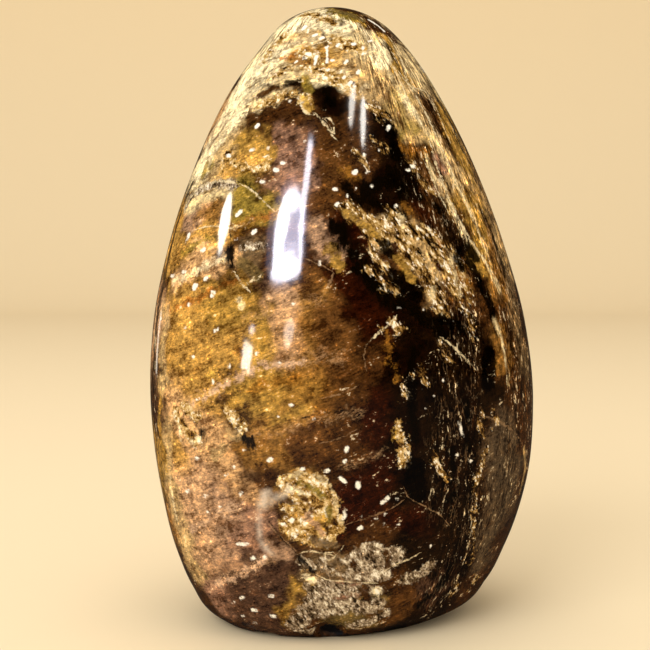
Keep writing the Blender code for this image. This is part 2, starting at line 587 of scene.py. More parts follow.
        mark("limb edge", 1.3, 196, 176, 212, 146, 228, 124, 244, 104, 258, 90, 268, 82),
        mark("limb bright line", 1.0, 208, 138, 215, 127, 222, 118),
        mark("fan, outer edge", 1.5, 184, 213, 188, 203, 196, 191, 210, 183, 224, 181, 238, 184),
        mark("fan, thin edge", 0.9, 238, 183, 250, 189, 260, 198, 270, 207, 274, 211),
        mark("fan, inner edge", 0.8, 190, 232, 200, 228, 212, 226, 222, 227, 232, 229),
        mark("fan, bright end", 1.4, 234, 272, 239, 280, 244, 286, 249, 291),
        mark("fan, squiggle", 1.2, 243, 284, 250, 281, 257, 280, 261, 275),
        mark("crack, centre", 1.1, 367, 344, 377, 334, 388, 325, 397, 316),
        mark("crack, right", 1.2, 441, 337, 450, 344, 458, 352, 467, 360, 476, 370),
        mark("arrow, right edge", 0.9, 385, 571, 395, 565, 407, 560, 420, 553),
        mark("arrow, lower edge", 0.8, 317, 575, 329, 580, 350, 582, 377, 583),
        mark("arrow, top edge", 0.8, 298, 554, 310, 551, 322, 553, 334, 552),
        mark("arrow, spoke", 0.9, 322, 553, 330, 560, 343, 547),
        mark("silver shard", 1.3, 315, 113, 323, 122, 330, 131, 336, 139),
        mark("silver shard, side", 0.9, 322, 118, 331, 120, 335, 137),
        mark("gold drop rim", 1.2, 300, 97, 302, 106, 307, 113, 313, 115),
        mark("flank, fan 1", 0.9, 390, 62, 400, 82, 412, 106, 424, 130),
        mark("flank, fan 2", 1.1, 396, 68, 412, 90, 426, 114, 438, 140, 450, 167, 459, 190),
        mark("flank, fan 3", 0.9, 412, 87, 424, 91, 433, 102, 441, 120, 450, 142),
        mark("flank, face line", 0.8, 430, 100, 438, 113),
        mark("flank, main", 1.8, 430, 142, 440, 176, 450, 200, 460, 222, 471, 241, 486, 262, 499, 284),
        mark("flank, second", 1.2, 454, 178, 467, 206, 479, 234, 490, 262),
        mark("flank, third", 1.0, 424, 160, 436, 188, 449, 214),
        mark("flank, low", 1.0, 492, 316, 500, 334, 505, 358, 507, 384),
        mark("yellow line", 1.0, 388, 36, 396, 48, 402, 62, 407, 78, 411, 85),
        mark("low left line", 0.9, 185, 548, 189, 556),
    ),
}

WASHES: dict[Tone, Marks] = {
    Tone.IVORY: (
        mark("upper-left limb", 10, 298, 20, 275, 38, 256, 62, 240, 90, 224, 122, 209, 150, 196, 178),
        mark("crown", 8, 302, 16, 322, 18, 338, 24),
        mark("crown, left", 9, 300, 38, 284, 50, 268, 66),
        mark("crown, pink", 7, 326, 76, 346, 82),
        # The node is a painted highlight on the crown's right side.
        mark("node", 5, 380, 50, 385, 63),
    ),
    Tone.CREAM: (
        mark("crown, grey", 7, 338, 42, 360, 44),
        mark("olive arc", 5, 266, 82, 285, 70, 305, 68, 322, 72),
        mark("crescent", 5, 262, 103, 280, 99, 294, 92),
        mark("fan, upper left", 7, 190, 202, 206, 191, 226, 189),
    ),
    Tone.BISCUIT: (
        mark("left edge", 5, 164, 310, 163, 345, 164, 380),
        mark("upper left", 11, 228, 130, 221, 150, 215, 172),
        mark("fibres", 8, 374, 62, 390, 92, 404, 120),
        mark("fibres, upper", 9, 352, 62, 366, 88),
        mark("flank, outer", 5, 466, 172, 482, 200, 492, 232),
        mark("flank, upper", 7, 392, 78, 408, 104, 424, 130, 440, 155, 455, 185),
        mark("left limb, low", 8, 168, 440, 172, 490, 182, 530, 196, 568),
        mark("shard field", 8, 380, 232, 404, 238, 424, 256, 440, 282),
    ),
    Tone.PEACH: (
        mark("lower left", 13, 176, 405, 200, 432, 216, 450),
        mark("field of dots", 9, 226, 462, 240, 484, 248, 498),
        mark("left of the fan", 6, 190, 256, 208, 250),
        mark("rose band", 6, 176, 282, 200, 270, 226, 260),
    ),
    Tone.SHELL: (
        mark("low left", 17, 190, 480, 196, 512, 208, 545),
        mark("centre", 9, 284, 300, 288, 330, 290, 352),
    ),
    Tone.ROSE: (
        mark("low left, inner", 13, 224, 505, 228, 535, 226, 560),
        mark("fan, left", 9, 194, 212, 198, 222),
        mark("arc, foot", 6, 272, 552, 286, 548),
        mark("by the streak", 7, 318, 228, 326, 242),
    ),
    Tone.MAUVE: (
        # A painted bluish halo of the main highlight, laid as a mauve wash.
        mark("painted halo beside the highlight streak", 9, 293, 135, 297, 160, 290, 182),
        mark("low", 12, 248, 515, 242, 545),
        mark("foot, left", 9, 212, 588, 224, 606),
        mark("below the arrow", 8, 335, 589, 350, 598),
        mark("by the flank line", 5, 436, 160, 444, 174),
    ),
    Tone.PLUM: (
        mark("foot", 17, 240, 598, 256, 582, 276, 586, 264, 618),
        mark("lower right", 8, 436, 575, 430, 600),
    ),
    Tone.SUN: (
        mark("drop", 4, 303, 98, 308, 108),
        mark("cluster", 8, 312, 500, 320, 514),
    ),
    Tone.GOLDEN: (
        mark("crown", 9, 300, 57, 320, 62, 340, 60),
        mark("left", 22, 184, 320, 190, 350, 194, 382),
        mark("centre left", 12, 232, 335, 238, 358),
        mark("yellow band", 6, 184, 254, 200, 241, 218, 234),
        mark("upper left", 12, 236, 164, 250, 158),
        mark("crown", 7, 292, 40, 304, 34),
        mark("cluster", 12, 300, 488, 310, 520),
        mark("left crystals", 8, 178, 448, 184, 466),
    ),
    Tone.HONEY: (
        mark("left, upper", 12, 214, 305, 230, 316, 236, 300),
        mark("centre", 14, 258, 345, 250, 375),
        mark("crown, right", 6, 386, 42, 397, 60, 405, 76),
        mark("right rim", 8, 424, 76, 446, 112, 468, 165, 486, 215),
        mark("flank, lower", 7, 462, 200, 474, 230, 486, 262),
        mark("upper left, deep", 9, 244, 142, 262, 150),
        mark("strip", 6, 300, 582, 292, 602, 284, 620),
        mark("low", 10, 250, 410, 280, 410),
        mark("under the tan band", 12, 250, 400, 280, 392, 300, 396),
    ),
    Tone.AMBER: (
        mark("beside the column", 5.5, 404, 136, 412, 152),
        mark("under the tan band", 14, 300, 394, 316, 398),
        mark("shard field, right", 9, 440, 256, 455, 282),
        mark("fan, lower", 7, 240, 222, 262, 216),
    ),
    Tone.OLIVE: (
        mark("fan", 11, 238, 199, 254, 206, 264, 212),
        mark("fibres, right", 8, 398, 104, 412, 126),
        # The crown's top edge is tinted as a painted dark reflection.
        mark("crown edge, painted dark reflection", 5, 330, 12, 350, 15),
        mark("limb patch", 5, 206, 166, 203, 176),
    ),
    Tone.KHAKI: (
        mark("foot", 10, 345, 618, 372, 612),
    ),
    Tone.CARAMEL: (
        mark("right rim, inner", 8, 488, 232, 502, 290),
        mark("light band", 5, 496, 330, 506, 360),
        mark("by the fan", 9, 262, 455, 274, 462),
        mark("fan", 7, 204, 218, 216, 216),
        mark("centre", 16, 298, 325, 304, 362, 298, 392),
        mark("low", 8, 262, 425, 298, 414),
        mark("upper centre", 8, 306, 290, 316, 305),
    ),
    Tone.RUST: (
        mark("crown", 5, 300, 60, 320, 66),
    ),
    Tone.UMBER: (
        mark("wedge", 7, 376, 352, 378, 372),
        mark("centre, right", 13, 330, 320, 334, 360, 332, 400),
        mark("low", 8, 296, 436, 322, 440),
        mark("foot, right", 10, 392, 614, 408, 604),
        mark("left of the column", 10, 322, 150, 334, 176, 326, 205),
        mark("by the flank", 9, 426, 170, 436, 198, 446, 222),
    ),
    Tone.CHOCOLATE: (
        mark("upper middle", 12, 262, 118, 284, 112, 302, 122),
        mark("upper middle, right", 10, 322, 130, 340, 160, 346, 180),
        mark("centre", 11, 352, 340, 352, 385, 350, 420),
        mark("grey brown", 10, 262, 478, 280, 476),
        mark("lens", 8, 360, 536, 385, 530),
        mark("low", 13, 308, 462, 334, 466, 352, 446),
        mark("right rim, low", 8, 520, 395, 524, 430, 518, 450),
        mark("crown shadow", 6, 296, 86, 316, 84),
    ),
    Tone.OXBLOOD: (
        mark("centre", 13, 372, 330, 378, 380, 374, 430),
        mark("low", 13, 348, 490, 374, 494, 388, 470),
        mark("low, inner", 11, 350, 505, 346, 520, 372, 508),
        mark("upper centre", 10, 346, 274, 362, 300, 378, 314),
        mark("by the shards", 9, 334, 214, 342, 236, 352, 262),
        mark("lens", 9, 396, 520, 416, 516, 432, 528),
        mark("right, upper", 9, 424, 196, 436, 216),
    ),
    Tone.SMOKE: (
        mark("right middle", 12, 398, 345, 406, 390, 406, 440, 412, 480),
        mark("right middle, outer", 10, 430, 345, 434, 390, 436, 440),
        mark("upper right", 12, 390, 130, 402, 165, 385, 195),
        mark("under the shards", 9, 364, 268, 380, 292, 400, 308),
        mark("under the field", 8, 420, 318, 444, 326, 470, 330),
        mark("patch under the crown", 7, 326, 92, 332, 104),
        mark("by the eye", 7, 486, 345, 488, 380),
    ),
    Tone.BARK: (
        mark("right", 14, 456, 345, 460, 400, 462, 450),
        mark("right, inner", 13, 420, 400, 434, 470, 436, 520, 436, 560),
        mark("right, outer", 9, 486, 400, 496, 405),
        mark("lower right", 14, 466, 490, 462, 540, 452, 575),
        mark("upper right", 9, 432, 190, 444, 212, 452, 234),
        mark("foot", 14, 440, 600, 418, 612, 396, 622),
        mark("low middle", 12, 404, 540, 420, 548, 428, 560),
    ),
    Tone.TAUPE: (
        # The right rim's taupe is a painted reflection of the room along the right limb.
        mark("right rim", 7, 486, 215, 502, 262, 516, 315, 524, 370),
        mark("grey fan", 8, 240, 256, 256, 262),
        mark("arrow", 8, 326, 564, 346, 568),
    ),
    Tone.FLINT: (
        mark("lower right", 14, 502, 440, 508, 470, 500, 505),
        mark("lower right, foot", 10, 490, 530, 482, 560),
    ),
}

PATCHES: dict[Tone, Marks] = {
    Tone.SMOKE: (
        mark("left of the shards", 7, 342, 228, 356, 252, 374, 276),
        mark("left of the taupe", 5, 474, 430, 472, 460, 468, 500),
    ),
    Tone.CHOCOLATE: (
        mark("blots under the band", 3.5, 212, 404, 224, 398, 238, 392),
        mark("blot, left", 3, 222, 372, 236, 374),
        mark("blot by the crystals", 4, 242, 412, 248, 418),
        mark("blots, upper middle", 5, 318, 168, 330, 176),
        mark("blots, low", 5, 262, 468, 276, 480),
        mark("fan, dark", 4, 245, 230, 258, 228),
    ),
    Tone.AMBER: (
        mark("blots, upper middle", 5, 346, 172, 356, 178),
        mark("blots, right", 4, 404, 206, 410, 214),
        mark("blots, gold", 5, 396, 256, 402, 264, 404, 272),
        mark("ground under the line", 5, 250, 390, 272, 382, 296, 378),
        mark("blots, left", 4, 236, 350, 244, 358),
        mark("ember in the wedge", 2, 387, 336, 388, 350, 385, 362),
        mark("spot in the smoke", 2.5, 396, 370, 397, 378),
    ),
    Tone.HONEY: (
        mark("by the veil", 6, 329, 250, 338, 264),
        mark("limb, low", 4, 160, 400, 160, 430, 166, 470),
        mark("patch by the fan", 4, 236, 166, 250, 172),
        mark("under the second band", 4, 270, 424, 292, 415, 306, 408),
    ),
    Tone.RUST: (
        mark("rusty crown, right", 2.0, 306, 56, 317, 59, 328, 58),
    ),
    Tone.OLIVE: (
        mark("yellow band", 3, 184, 254, 198, 243, 215, 236),
    ),
    Tone.ORANGE: (
        mark("fan", 2.5, 241, 222, 252, 218, 268, 217),
        mark("band", 3, 172, 308, 186, 303, 204, 296, 218, 288, 232, 282),
        mark("rusty crown", 2.5, 284, 58, 296, 54, 308, 51),
    ),
    Tone.SUN: (
        mark("spot, left", 2.5, 211, 367, 212, 375),
        mark("gold spots, crown", 2.2, 358, 21, 364, 24),
        mark("gold spot, arc", 2, 375, 38, 377, 41),
        mark("strip", 2.5, 397, 432, 399, 440),
    ),
    Tone.BISCUIT: (
        mark("low limb", 3.5, 182, 540, 190, 556, 200, 575),
        mark("under the left crystals", 5, 214, 456, 226, 448),
        mark("low left band", 4, 226, 430, 240, 438),
    ),
    Tone.PINK: (
        mark("crown", 4, 326, 75, 340, 79, 350, 84),
        mark("tan band", 2.6, 192, 404, 215, 390, 240, 375, 265, 365, 300, 363),
        mark("low tan band", 2.6, 215, 585, 240, 575, 265, 561),
        mark("left tan band", 2.4, 190, 531, 215, 517, 240, 504),
    ),
    Tone.IVORY: (
        mark("rose band", 3.2, 175, 281, 196, 271, 224, 259),
    ),
    Tone.CREAM: (
        mark("olive arc", 3, 272, 78, 286, 71, 300, 68, 314, 69),
        mark("upper shards", 4, 350, 212, 366, 222, 384, 234),
        mark("fan, ripple", 2.2, 232, 228, 242, 225, 250, 221),
        mark("crescent", 3, 262, 104, 274, 102, 284, 95, 293, 92),
    ),
}

STRANDS: dict[Tone, Marks] = {
    Tone.TAUPE: (
        # The right rim's brown strand is a painted reflection of the room along the right limb.
        mark("right rim, brown", 2.8, 404, 50, 420, 72, 436, 98, 452, 126, 468, 158, 482, 192, 494, 226,
             504, 260, 514, 300, 521, 345),
        mark("flank, between", 3, 414, 96, 430, 118, 446, 146),
    ),
    Tone.UMBER: (
        mark("crown, line", 1.0, 263, 60, 272, 44, 284, 29),
        mark("crown, line inner", 1.0, 262, 74, 276, 56, 292, 40),
        mark("limb, line", 1.2, 244, 94, 230, 118, 220, 132, 210, 148),
        mark("flank, fibres", 1.6, 380, 84, 396, 112, 410, 140),
        mark("rim, low", 3, 524, 385, 527, 412, 524, 440),
    ),
    Tone.BARK: (
        # The limb strand is a painted dark reflection along the left limb.
        mark("limb", 3.5, 192, 184, 186, 198, 180, 215, 175, 232, 169, 256, 165, 276, 160, 300, 156, 330,
             154, 365),
        mark("flank, upper", 2.5, 425, 75, 438, 100, 450, 122, 462, 150),
        mark("taupe, dark", 2, 412, 88, 424, 100, 434, 112),
        mark("inner", 2, 424, 142, 432, 156, 440, 172, 450, 192),
        mark("flank, dark", 2.5, 482, 212, 490, 230, 497, 250, 505, 275),
        mark("rim, low inner", 1.6, 504, 388, 507, 410, 508, 428),
        mark("beside the light band", 2, 492, 318, 498, 340, 500, 362, 500, 384),
        mark("beyond the light band", 1.6, 505, 318, 511, 340, 514, 366),
        mark("rim, low", 1.8, 512, 386, 516, 410, 518, 434),
        mark("rim, low outer", 1.4, 521, 384, 525, 408, 526, 436),
        mark("crown, olive", 2, 386, 44, 396, 62, 404, 80),
    ),
    Tone.GOLDEN: (
        # The limb's golden line is a painted reflection along the left limb.
        mark("limb, golden line", 1.3, 176, 262, 170, 285, 165, 310, 161, 345),
        mark("flank, golden", 1.6, 440, 118, 450, 136, 458, 152),
    ),
    Tone.CREAM: (
        mark("flank, main", 3.5, 390, 75, 400, 92, 410, 108, 420, 122, 430, 136, 440, 150, 447, 165,
             455, 180, 463, 195, 470, 210, 477, 225),
        mark("flank, inner", 2.5, 425, 155, 432, 170, 440, 185, 448, 200, 455, 215, 462, 232, 468, 245),
        mark("flank, outer", 1.8, 452, 172, 462, 190, 470, 208, 478, 228, 487, 248, 494, 270),
        mark("flank, low", 1.8, 472, 244, 482, 258, 492, 276, 500, 292),
        mark("light band", 1.6, 494, 320, 500, 334, 504, 352, 507, 370, 508, 386),
        mark("crown line", 1.2, 400, 75, 415, 90, 430, 100),
    ),
    Tone.IVORY: (
        # The limb's bright strand is a painted bright reflection along the left limb.
        mark("limb, bright", 3.2, 246, 112, 232, 126, 222, 140, 213, 152, 208, 165, 200, 176, 193, 186),
        mark("crown, outer", 2.2, 300, 14, 284, 28, 268, 46, 256, 66),
        mark("crown, inner", 2, 300, 24, 285, 38, 270, 56, 258, 76),
        # Painted bright reflection along the left limb.
        mark("limb, upper", 1.6, 254, 78, 242, 96, 232, 112),
        mark("arc", 2.5, 330, 14, 348, 22, 364, 31, 374, 42, 382, 54, 388, 68),
        # The node is a painted highlight on the crown's right side.
        mark("node", 3, 382, 50, 385, 58, 386, 65),
        mark("flank, bright", 2, 404, 96, 412, 110, 420, 122),
        mark("flank, bright low", 2.2, 455, 215, 462, 230, 468, 244),
        # The left edge's strand is a painted bright reflection along the left limb.
        mark("left edge", 1.0, 157, 300, 155, 330, 155, 365),
        mark("low limb", 2.5, 170, 478, 172, 500, 176, 520),
    ),
}

FACETS: dict[Tone, Marks] = {
    Tone.KHAKI: (
        # The crown's top edge is a painted dark reflection.
        mark("crown edge, painted dark reflection", 4, 330, 10, 348, 14, 362, 20),
        mark("fan, grey", 6, 240, 262, 250, 268, 258, 276),
    ),
    Tone.OLIVE: (
        mark("drop", 5, 305, 79, 309, 90),
        mark("limb patch", 4, 207, 164, 203, 176),
    ),
    Tone.MAUVE: (
        mark("by the flank line", 4, 436, 158, 444, 172),
    ),
    Tone.CHOCOLATE: (
        mark("wedge", 6, 374, 350, 377, 366, 375, 380),
    ),
    Tone.UMBER: (
        mark("veil", 10, 302, 272, 314, 278, 312, 290),
    ),
    Tone.FLINT: (
        mark("lower right", 14, 504, 448, 506, 478, 498, 508),
    ),
    Tone.BISCUIT: (
        mark("right edge", 3, 524, 448, 525, 470, 520, 492),
        mark("low limb", 4, 169, 484, 172, 506, 177, 526),
    ),
    Tone.PLUM: (
        mark("wedge", 8, 272, 568, 292, 568),
    ),
}

GLAZES: dict[Tone, Marks] = {
    Tone.OXBLOOD: (
        mark("pocket, red side", 3, 394, 246, 396, 256),
        mark("pockets, field", 3, 436, 262, 440, 270),
    ),
    Tone.CHOCOLATE: (
        mark("dash, upper left", 3, 258, 96, 266, 92, 277, 86),
        mark("speck under the cluster", 3, 325, 526, 327, 532),
        mark("arrow spots", 2.5, 354, 562, 356, 572),
        mark("arrow spot, right", 3, 387, 554, 389, 566),
        mark("foot spot", 4, 364, 588, 367, 598),
    ),
    Tone.SMOKE: (
        mark("dash, crown", 4, 288, 82, 298, 82),
        mark("column, right", 5, 402, 160, 410, 178, 416, 196),
    ),
    Tone.INK: (
        mark("pocket, upper", 6, 384, 246, 390, 254),
        mark("pocket, middle", 7, 393, 275, 404, 284, 412, 292),
        mark("pocket, middle right", 6, 402, 276, 414, 284, 418, 298),
        mark("pocket by the crack", 5, 442, 318, 452, 326),
        mark("pocket, field", 4, 456, 258, 462, 268),
        mark("slanted pocket, head", 6, 460, 252, 468, 248, 476, 258),
        mark("slanted pocket", 5.5, 470, 262, 478, 278, 486, 295, 492, 312),
        mark("eye", 10, 489, 356, 490, 368, 488, 382),
        mark("hollow, lower right", 10, 416, 466, 414, 482, 420, 494),
        mark("above the strip", 6, 412, 384, 412, 400),
        mark("column, core", 5, 388, 126, 394, 142, 397, 156),
        mark("column, foot", 6, 392, 178, 400, 186),
        mark("under the crown", 3.2, 326, 99, 331, 104),
        # The modelled foot hollow is painted black, as painted shade inside it.
        mark("foot hollow", 6, 326, 627, 338, 631),
        mark("fan spot", 2.2, 243, 182, 250, 185),
        mark("black sliver", 1.8, 299, 557, 308, 567, 316, 574),
    ),
    Tone.UMBER: (
        mark("cluster hollow", 3.5, 284, 498, 292, 503),
        mark("cluster, under the edge", 1.8, 300, 496, 308, 503, 312, 512),
    ),
    Tone.HONEY: (
        mark("shards, upper left", 3.5, 346, 212, 360, 222, 376, 234),
        mark("shards by the pocket", 4, 397, 258, 406, 268, 412, 278),
    ),
    Tone.OLIVE: (
        mark("cluster, heart", 3, 300, 484, 314, 489, 322, 496),
        mark("cluster, right", 3, 328, 508, 330, 520),
    ),
    Tone.SHELL: (
        mark("cluster, middle", 3.5, 306, 516, 314, 524, 322, 532),
    ),
    Tone.TAUPE: (
        mark("cluster, grey foot", 4, 312, 538, 322, 544, 336, 546),
        mark("arrow, block", 5, 330, 562, 342, 568),
    ),
    Tone.SUN: (
        mark("drop", 3.5, 304, 98, 309, 108),
        mark("oval in the hollow", 1.8, 291, 507, 295, 507),
    ),
    Tone.CREAM: (
        mark("cluster, top edge", 1.6, 290, 475, 302, 473, 316, 476, 328, 482, 333, 492),
        mark("cluster, right edge", 1.8, 335, 500, 338, 512, 342, 522),
        # A painted highlight under the fan, drawn as a cream blob.
        mark("painted highlight under the fan", 3, 238, 298, 242, 307),
        mark("shards, bright", 2.5, 434, 288, 432, 296),
        mark("shards, white", 2.5, 400, 216, 404, 228),
        mark("beside the pocket", 2.2, 446, 248, 452, 262, 456, 280, 460, 296),
    ),
    Tone.IVORY: (
        mark("cluster, blob", 4, 291, 489, 299, 491),
        mark("blob by the strip", 3.5, 375, 591, 379, 593),
        mark("head of the strip", 3, 304, 576, 312, 580),
        mark("left crystal", 2.2, 180, 427, 182, 440),
        mark("left crystals, low", 2.2, 192, 443, 199, 439),
    ),
}

# Each row's points are the middles of separate flecks.
FLECKS: Marks = (
    mark("crown", 1.7, 308, 54, 316, 58, 327, 47, 315, 63, 328, 70, 344, 77, 341, 71, 350, 83, 354, 44,
         363, 48, 322, 38, 315, 35, 304, 28, 338, 45, 370, 41, 308, 31, 333, 60, 346, 62, 358, 72, 296, 62),
    mark("dark column", 1.5, 388, 128, 379, 150, 372, 186, 408, 170, 396, 206, 356, 188, 368, 172),
    mark("upper left", 1.9, 268, 148, 252, 150, 257, 126, 283, 163, 263, 182, 239, 213, 290, 101, 305, 141,
         229, 156, 276, 170),
    mark("right of the highlight", 1.8, 335, 189, 337, 204, 355, 172, 364, 155, 320, 263, 413, 166,
         347, 196),
    mark("fan", 1.9, 188, 238, 203, 250, 236, 239, 254, 232, 195, 287, 184, 272),
    mark("left", 1.9, 206, 278, 213, 292, 161, 319, 185, 328, 216, 330, 172, 276),
    mark("left, large", 2.6, 189, 305, 193, 357, 213, 294, 195, 287, 203, 250),
    mark("middle", 1.7, 293, 304, 257, 353, 229, 366, 280, 363, 291, 405, 314, 419, 279, 416),
    mark("lower left", 1.8, 213, 382, 198, 399, 197, 458, 234, 467, 220, 507, 207, 512, 187, 491, 205, 496,
         241, 494, 226, 475, 244, 450, 199, 442),
    mark("above the cluster", 2.2, 303, 469, 327, 471, 345, 461),
    mark("in the cluster", 2.0, 285, 517, 283, 524, 292, 520, 296, 535),
    mark("right of the cluster", 1.7, 345, 511, 344, 517, 387, 499, 383, 502, 397, 499, 385, 514, 376, 519,
         384, 524, 398, 525, 361, 517, 360, 528),
    mark("right", 1.3, 400, 308, 424, 308, 452, 322, 434, 396, 425, 408, 457, 455, 471, 461, 443, 380,
         461, 558, 430, 547),
    mark("foot", 1.9, 265, 557, 253, 558, 242, 598, 243, 616, 273, 616, 255, 623, 254, 610, 234, 603,
         271, 596),
)


@dataclass(frozen=True)
class ZoneKind:
    """One kind of zone: its strokes by tone, and the look that they share.

    The edges stray by the wander, in millimetres for a whole step of the swing, and are as soft
    as the blur, in millimetres.  The share is how much a zone covers.
    """

    strokes: dict[Tone, Marks]
    wander: float
    blur: float
    share: float


ZONES: dict[str, ZoneKind] = {
    "patch_": ZoneKind(PATCHES, 7.0, 0.5, 0.85),
    "strand_": ZoneKind(STRANDS, 5.0, 0.35, 0.85),
    "facet_": ZoneKind(FACETS, 1.5, 0.3, 0.8),
    "glaze_": ZoneKind(GLAZES, 3.5, 0.3, 0.95),
}


@dataclass(frozen=True)
class Strew:
    """Marks of one kind, strewn over the back, which the photograph doesn't show.

    The angles run in degrees from the stone's right over its back to its left.  Heights and the
    marks' length are in millimetres, their half width is in pixels of the photograph, and their
    rise is in degrees, from level towards the right to upright.
    """

    kind: Layer | Tone
    count: int
    angles: Span
    heights: Span
    length: float
    reach: float
    rise: float = 22.0


BACK: tuple[Strew, ...] = (
    Strew(Layer.STREAK, 7, (-18, 42), (12, 60), 42, 24, 86),
    Strew(Layer.STREAK, 2, (180, 202), (12, 60), 42, 10, 92),
    Strew(Layer.SEAM, 7, (130, 202), (12, 92), 36, 3),
    Strew(Layer.DARK, 9, (24, 96), (10, 92), 9, 7, 62),
    Strew(Layer.SHARDS, 8, (30, 92), (26, 96), 10, 6, 58),
    Strew(Layer.PALE, 5, (60, 130), (4, 22), 8, 8, 12),
    Strew(Layer.GOLD, 8, (96, 200), (16, 104), 5, 4.5, 40),
    Strew(Layer.RIM, 7, (60, 200), (14, 100), 16, 0.9, 26),
    Strew(Layer.CUT, 6, (-14, 110), (14, 96), 14, 1.0, 70),
    Strew(Layer.VEIN, 10, (-16, 120), (18, 98), 15, 1.1, 74),
    Strew(Layer.FLECK, 56, (-18, 202), (5, 112), 0.5, 1.9, 36),
    Strew(Tone.IVORY, 6, (-16, 202), (104, 118), 10, 9, 10),
    Strew(Tone.CREAM, 9, (-18, 202), (92, 119), 12, 9, 30),
    Strew(Tone.BISCUIT, 6, (10, 170), (108, 119), 12, 8, 20),
    Strew(Tone.OLIVE, 3, (20, 160), (110, 118), 8, 8, 20),
    Strew(Tone.BISCUIT, 7, (-20, 60), (40, 92), 14, 8, 84),
    Strew(Tone.TAUPE, 7, (-20, 70), (12, 92), 12, 9, 84),
    Strew(Tone.CARAMEL, 10, (-18, 204), (10, 96), 12, 12),
    Strew(Tone.BARK, 8, (-18, 80), (8, 80), 10, 13, 80),
    Strew(Tone.SMOKE, 4, (30, 80), (20, 86), 9, 10, 60),
    Strew(Tone.OXBLOOD, 7, (40, 110), (10, 84), 10, 12, 40),
    Strew(Tone.CHOCOLATE, 6, (50, 130), (8, 90), 10, 12),
    Strew(Tone.UMBER, 8, (60, 150), (8, 96), 12, 12),
    Strew(Tone.AMBER, 5, (70, 150), (16, 90), 10, 12),
    Strew(Tone.HONEY, 12, (100, 204), (16, 92), 12, 13),
    Strew(Tone.GOLDEN, 14, (112, 204), (18, 96), 12, 14),
    Strew(Tone.SHELL, 8, (104, 204), (8, 60), 10, 13),
    Strew(Tone.PEACH, 8, (110, 204), (12, 96), 10, 11),
    Strew(Tone.ROSE, 4, (90, 160), (10, 60), 9, 11),
    Strew(Tone.MAUVE, 4, (70, 150), (5, 30), 8, 11),
    Strew(Tone.PLUM, 4, (80, 160), (3, 14), 9, 13, 5),
    Strew(Tone.KHAKI, 4, (30, 100), (4, 24), 8, 11, 10),
)


@dataclass
class Trace:
    """One stroke on the stone: its points and its half width at each, in millimetres."""

    points: np.ndarray
    reach: np.ndarray


